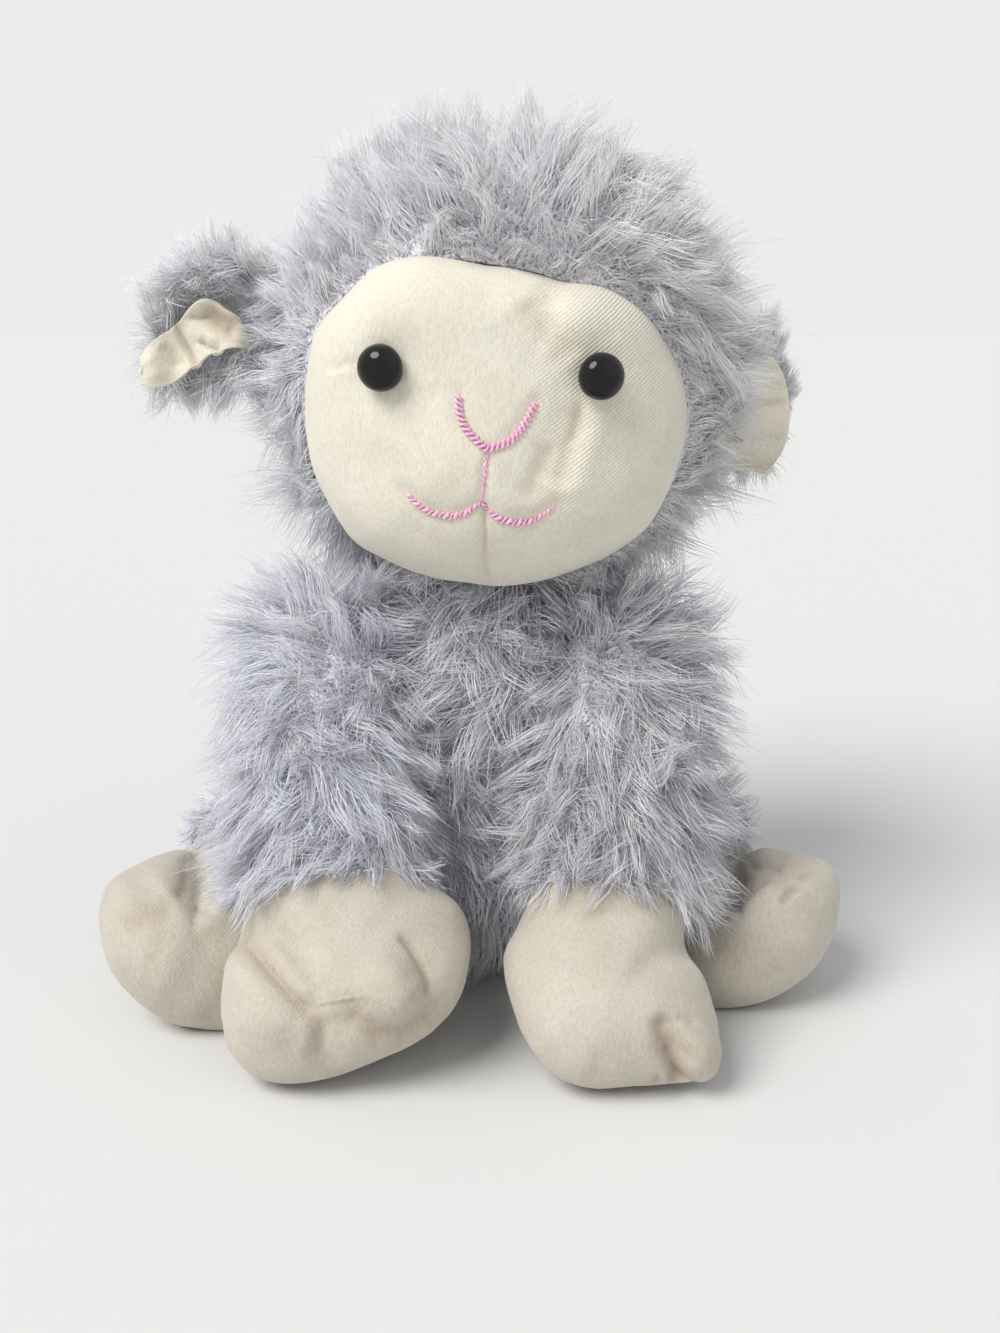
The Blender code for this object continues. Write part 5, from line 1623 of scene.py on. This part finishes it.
inner = {  # the filled node, its piece and its body
    "body_filling": ("bodyStuffing", "torso"), "head_filling": ("headStuffing", "head"),
    "left_front_leg_filling": ("leftFrontStuffing", "left_front_leg"),
    "right_front_leg_filling": ("rightFrontStuffing", "right_front_leg"),
    "left_hind_leg_filling": ("leftHindStuffing", "left_hind_leg"),
    "right_hind_leg_filling": ("rightHindStuffing", "right_hind_leg"),
    "seat_pellet_bag": ("seatPelletBag", "torso"),
}
packing = {"voxel": 0.0022, "fill": 0.7, "headMiddle": (0.008, 0.0, 0.178), "headGap": 0.0050,
           "limbGap": 0.0035, "least": 0.0005, "lean": 0.10}


def tuckInside(points, spine, covers, gap):
    # draws a filling's points toward the limb's middle line until they and the creases near are covered
    moved, lean = points.copy(), packing["lean"]
    for i, spot in enumerate(points):
        middle = spine[np.argmin(((spine - spot) ** 2).sum(1))]
        far = np.linalg.norm(spot - middle)
        if far < 1e-6:
            continue
        way = (spot - middle) / far
        aside = unit(np.cross(way, (0.31, 0.83, 0.47)))
        across = np.cross(way, aside)
        reach = far + gap
        for look in (way, way + lean * aside, way - lean * aside, way + lean * across, way - lean * across):
            for cover in covers:
                hit, normal, index, covered = cover.ray_cast(Vector(middle), Vector(look))
                if hit is not None:
                    reach = min(reach, covered)
        moved[i] = middle + way * max(reach - gap, packing["least"])
    return moved


for node, (name, body) in inner.items():
    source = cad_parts[node]
    piece = merged(meshPiece(name, pointsOf(source), facesOf(source)))
    modified(piece, "REMESH", mode="VOXEL", voxel_size=packing["voxel"], use_smooth_shade=True)
    points, limb = pointsOf(piece), name.removesuffix("Stuffing")
    if node == "seat_pellet_bag":
        lumps = 0.0004 * np.abs(wander(points, 0.0016, 51)) + 0.0002 * wander(points, 0.006, 52)
        slot, made = "pellet_bag_cloth", pelletCloth
    else:
        lumps = 0.0003 * wander(points, 0.004, 53) - 0.0004
        slot, made = "white_stuffing", stuffingFibre
    points = points + normalsOf(piece) * lumps[:, None]
    if limb in legs:
        spine = np.array([smoothPath(legs[limb]["path"], t) for t in np.linspace(0.05, 2.3, 50)])
        covers = skinTree(footPieces[limb], bpy.data.objects[f"{limb}Sleeve"])
        points = tuckInside(points, spine, covers, packing["limbGap"])
    elif limb == "head":
        middle = np.array([packing["headMiddle"]])
        points = tuckInside(points, middle, skinTree(facePanel, hoodSkin), packing["headGap"])
    movePoints(piece, points)
    settle(piece, body, slot, node, packing["fill"], made)
print("Stuffing made")


# Floor, lamps and camera

def makeWorld():  # lamps see a soft sky; the camera, mirrors and glass see the plain background
    world = bpy.data.worlds.new("studio")
    bpy.context.scene.world = world
    world.use_nodes = True
    tree = world.node_tree
    plain = tree.nodes["Background"]
    plain.inputs["Color"].default_value = (0.96, 0.98, 1.0, 1.0)
    plain.inputs["Strength"].default_value = light["worldStrength"]
    backdrop = newNode(tree, "Background", {"Color": (*light["backgroundColour"], 1.0), "Strength": 1.0})
    rays, choose = newNode(tree, "LightPath"), newNode(tree, "MixShader")
    either, both = newNode(tree, "Math", operation="MAXIMUM"), newNode(tree, "Math", operation="MAXIMUM")
    wired(tree, (rays, "Is Camera Ray", either, 0), (rays, "Is Glossy Ray", either, 1), (either, 0, both, 0),
          (rays, "Is Transmission Ray", both, 1), (both, 0, choose, "Fac"), (plain, "Background", choose, 1),
          (backdrop, "Background", choose, 2), (choose, "Shader", tree.nodes["World Output"], "Surface"))


def makeStage():
    floor = meshPiece("floor", [(-3, -3, 0), (3, -3, 0), (3, 3, 0), (-3, 3, 0)], [(0, 1, 2, 3)], False)
    made, tree, shader = newMaterial("paleFloor", 0.9, 0.1)
    shader.inputs["Base Color"].default_value = (*light["floorColour"], 1.0)
    floor.data.materials.append(made)
    makeWorld()
    for name, colour in (("key", (1.0, 0.985, 0.96)), ("fill", (0.97, 0.985, 1.0))):
        lamp = bpy.data.lights.new(f"{name}Lamp", "SUN")
        lamp.energy, lamp.color = light[f"{name}Strength"], colour
        lamp.angle = math.radians(light[f"{name}SpreadDegrees"])
        stand = shown(f"{name}Lamp", lamp)
        stand.location = light[f"{name}From"]
        stand.rotation_euler = (-Vector(light[f"{name}From"])).to_track_quat("-Z", "Y").to_euler()
    lens = bpy.data.cameras.new("camera")
    lens.sensor_fit, lens.sensor_height, lens.clip_start = "VERTICAL", 36.0, 0.01
    lens.lens = lens.sensor_height * focal / photo["imageHeight"]
    camera = shown("camera", lens)
    camera.location = photo["place"]
    camera.rotation_euler = (math.radians(90.0 - photo["pitchDegrees"]), 0.0, 0.0)
    bpy.context.scene.camera = camera
    bpy.context.scene.view_settings.view_transform = "Standard"


makeStage()
print("Scene made")
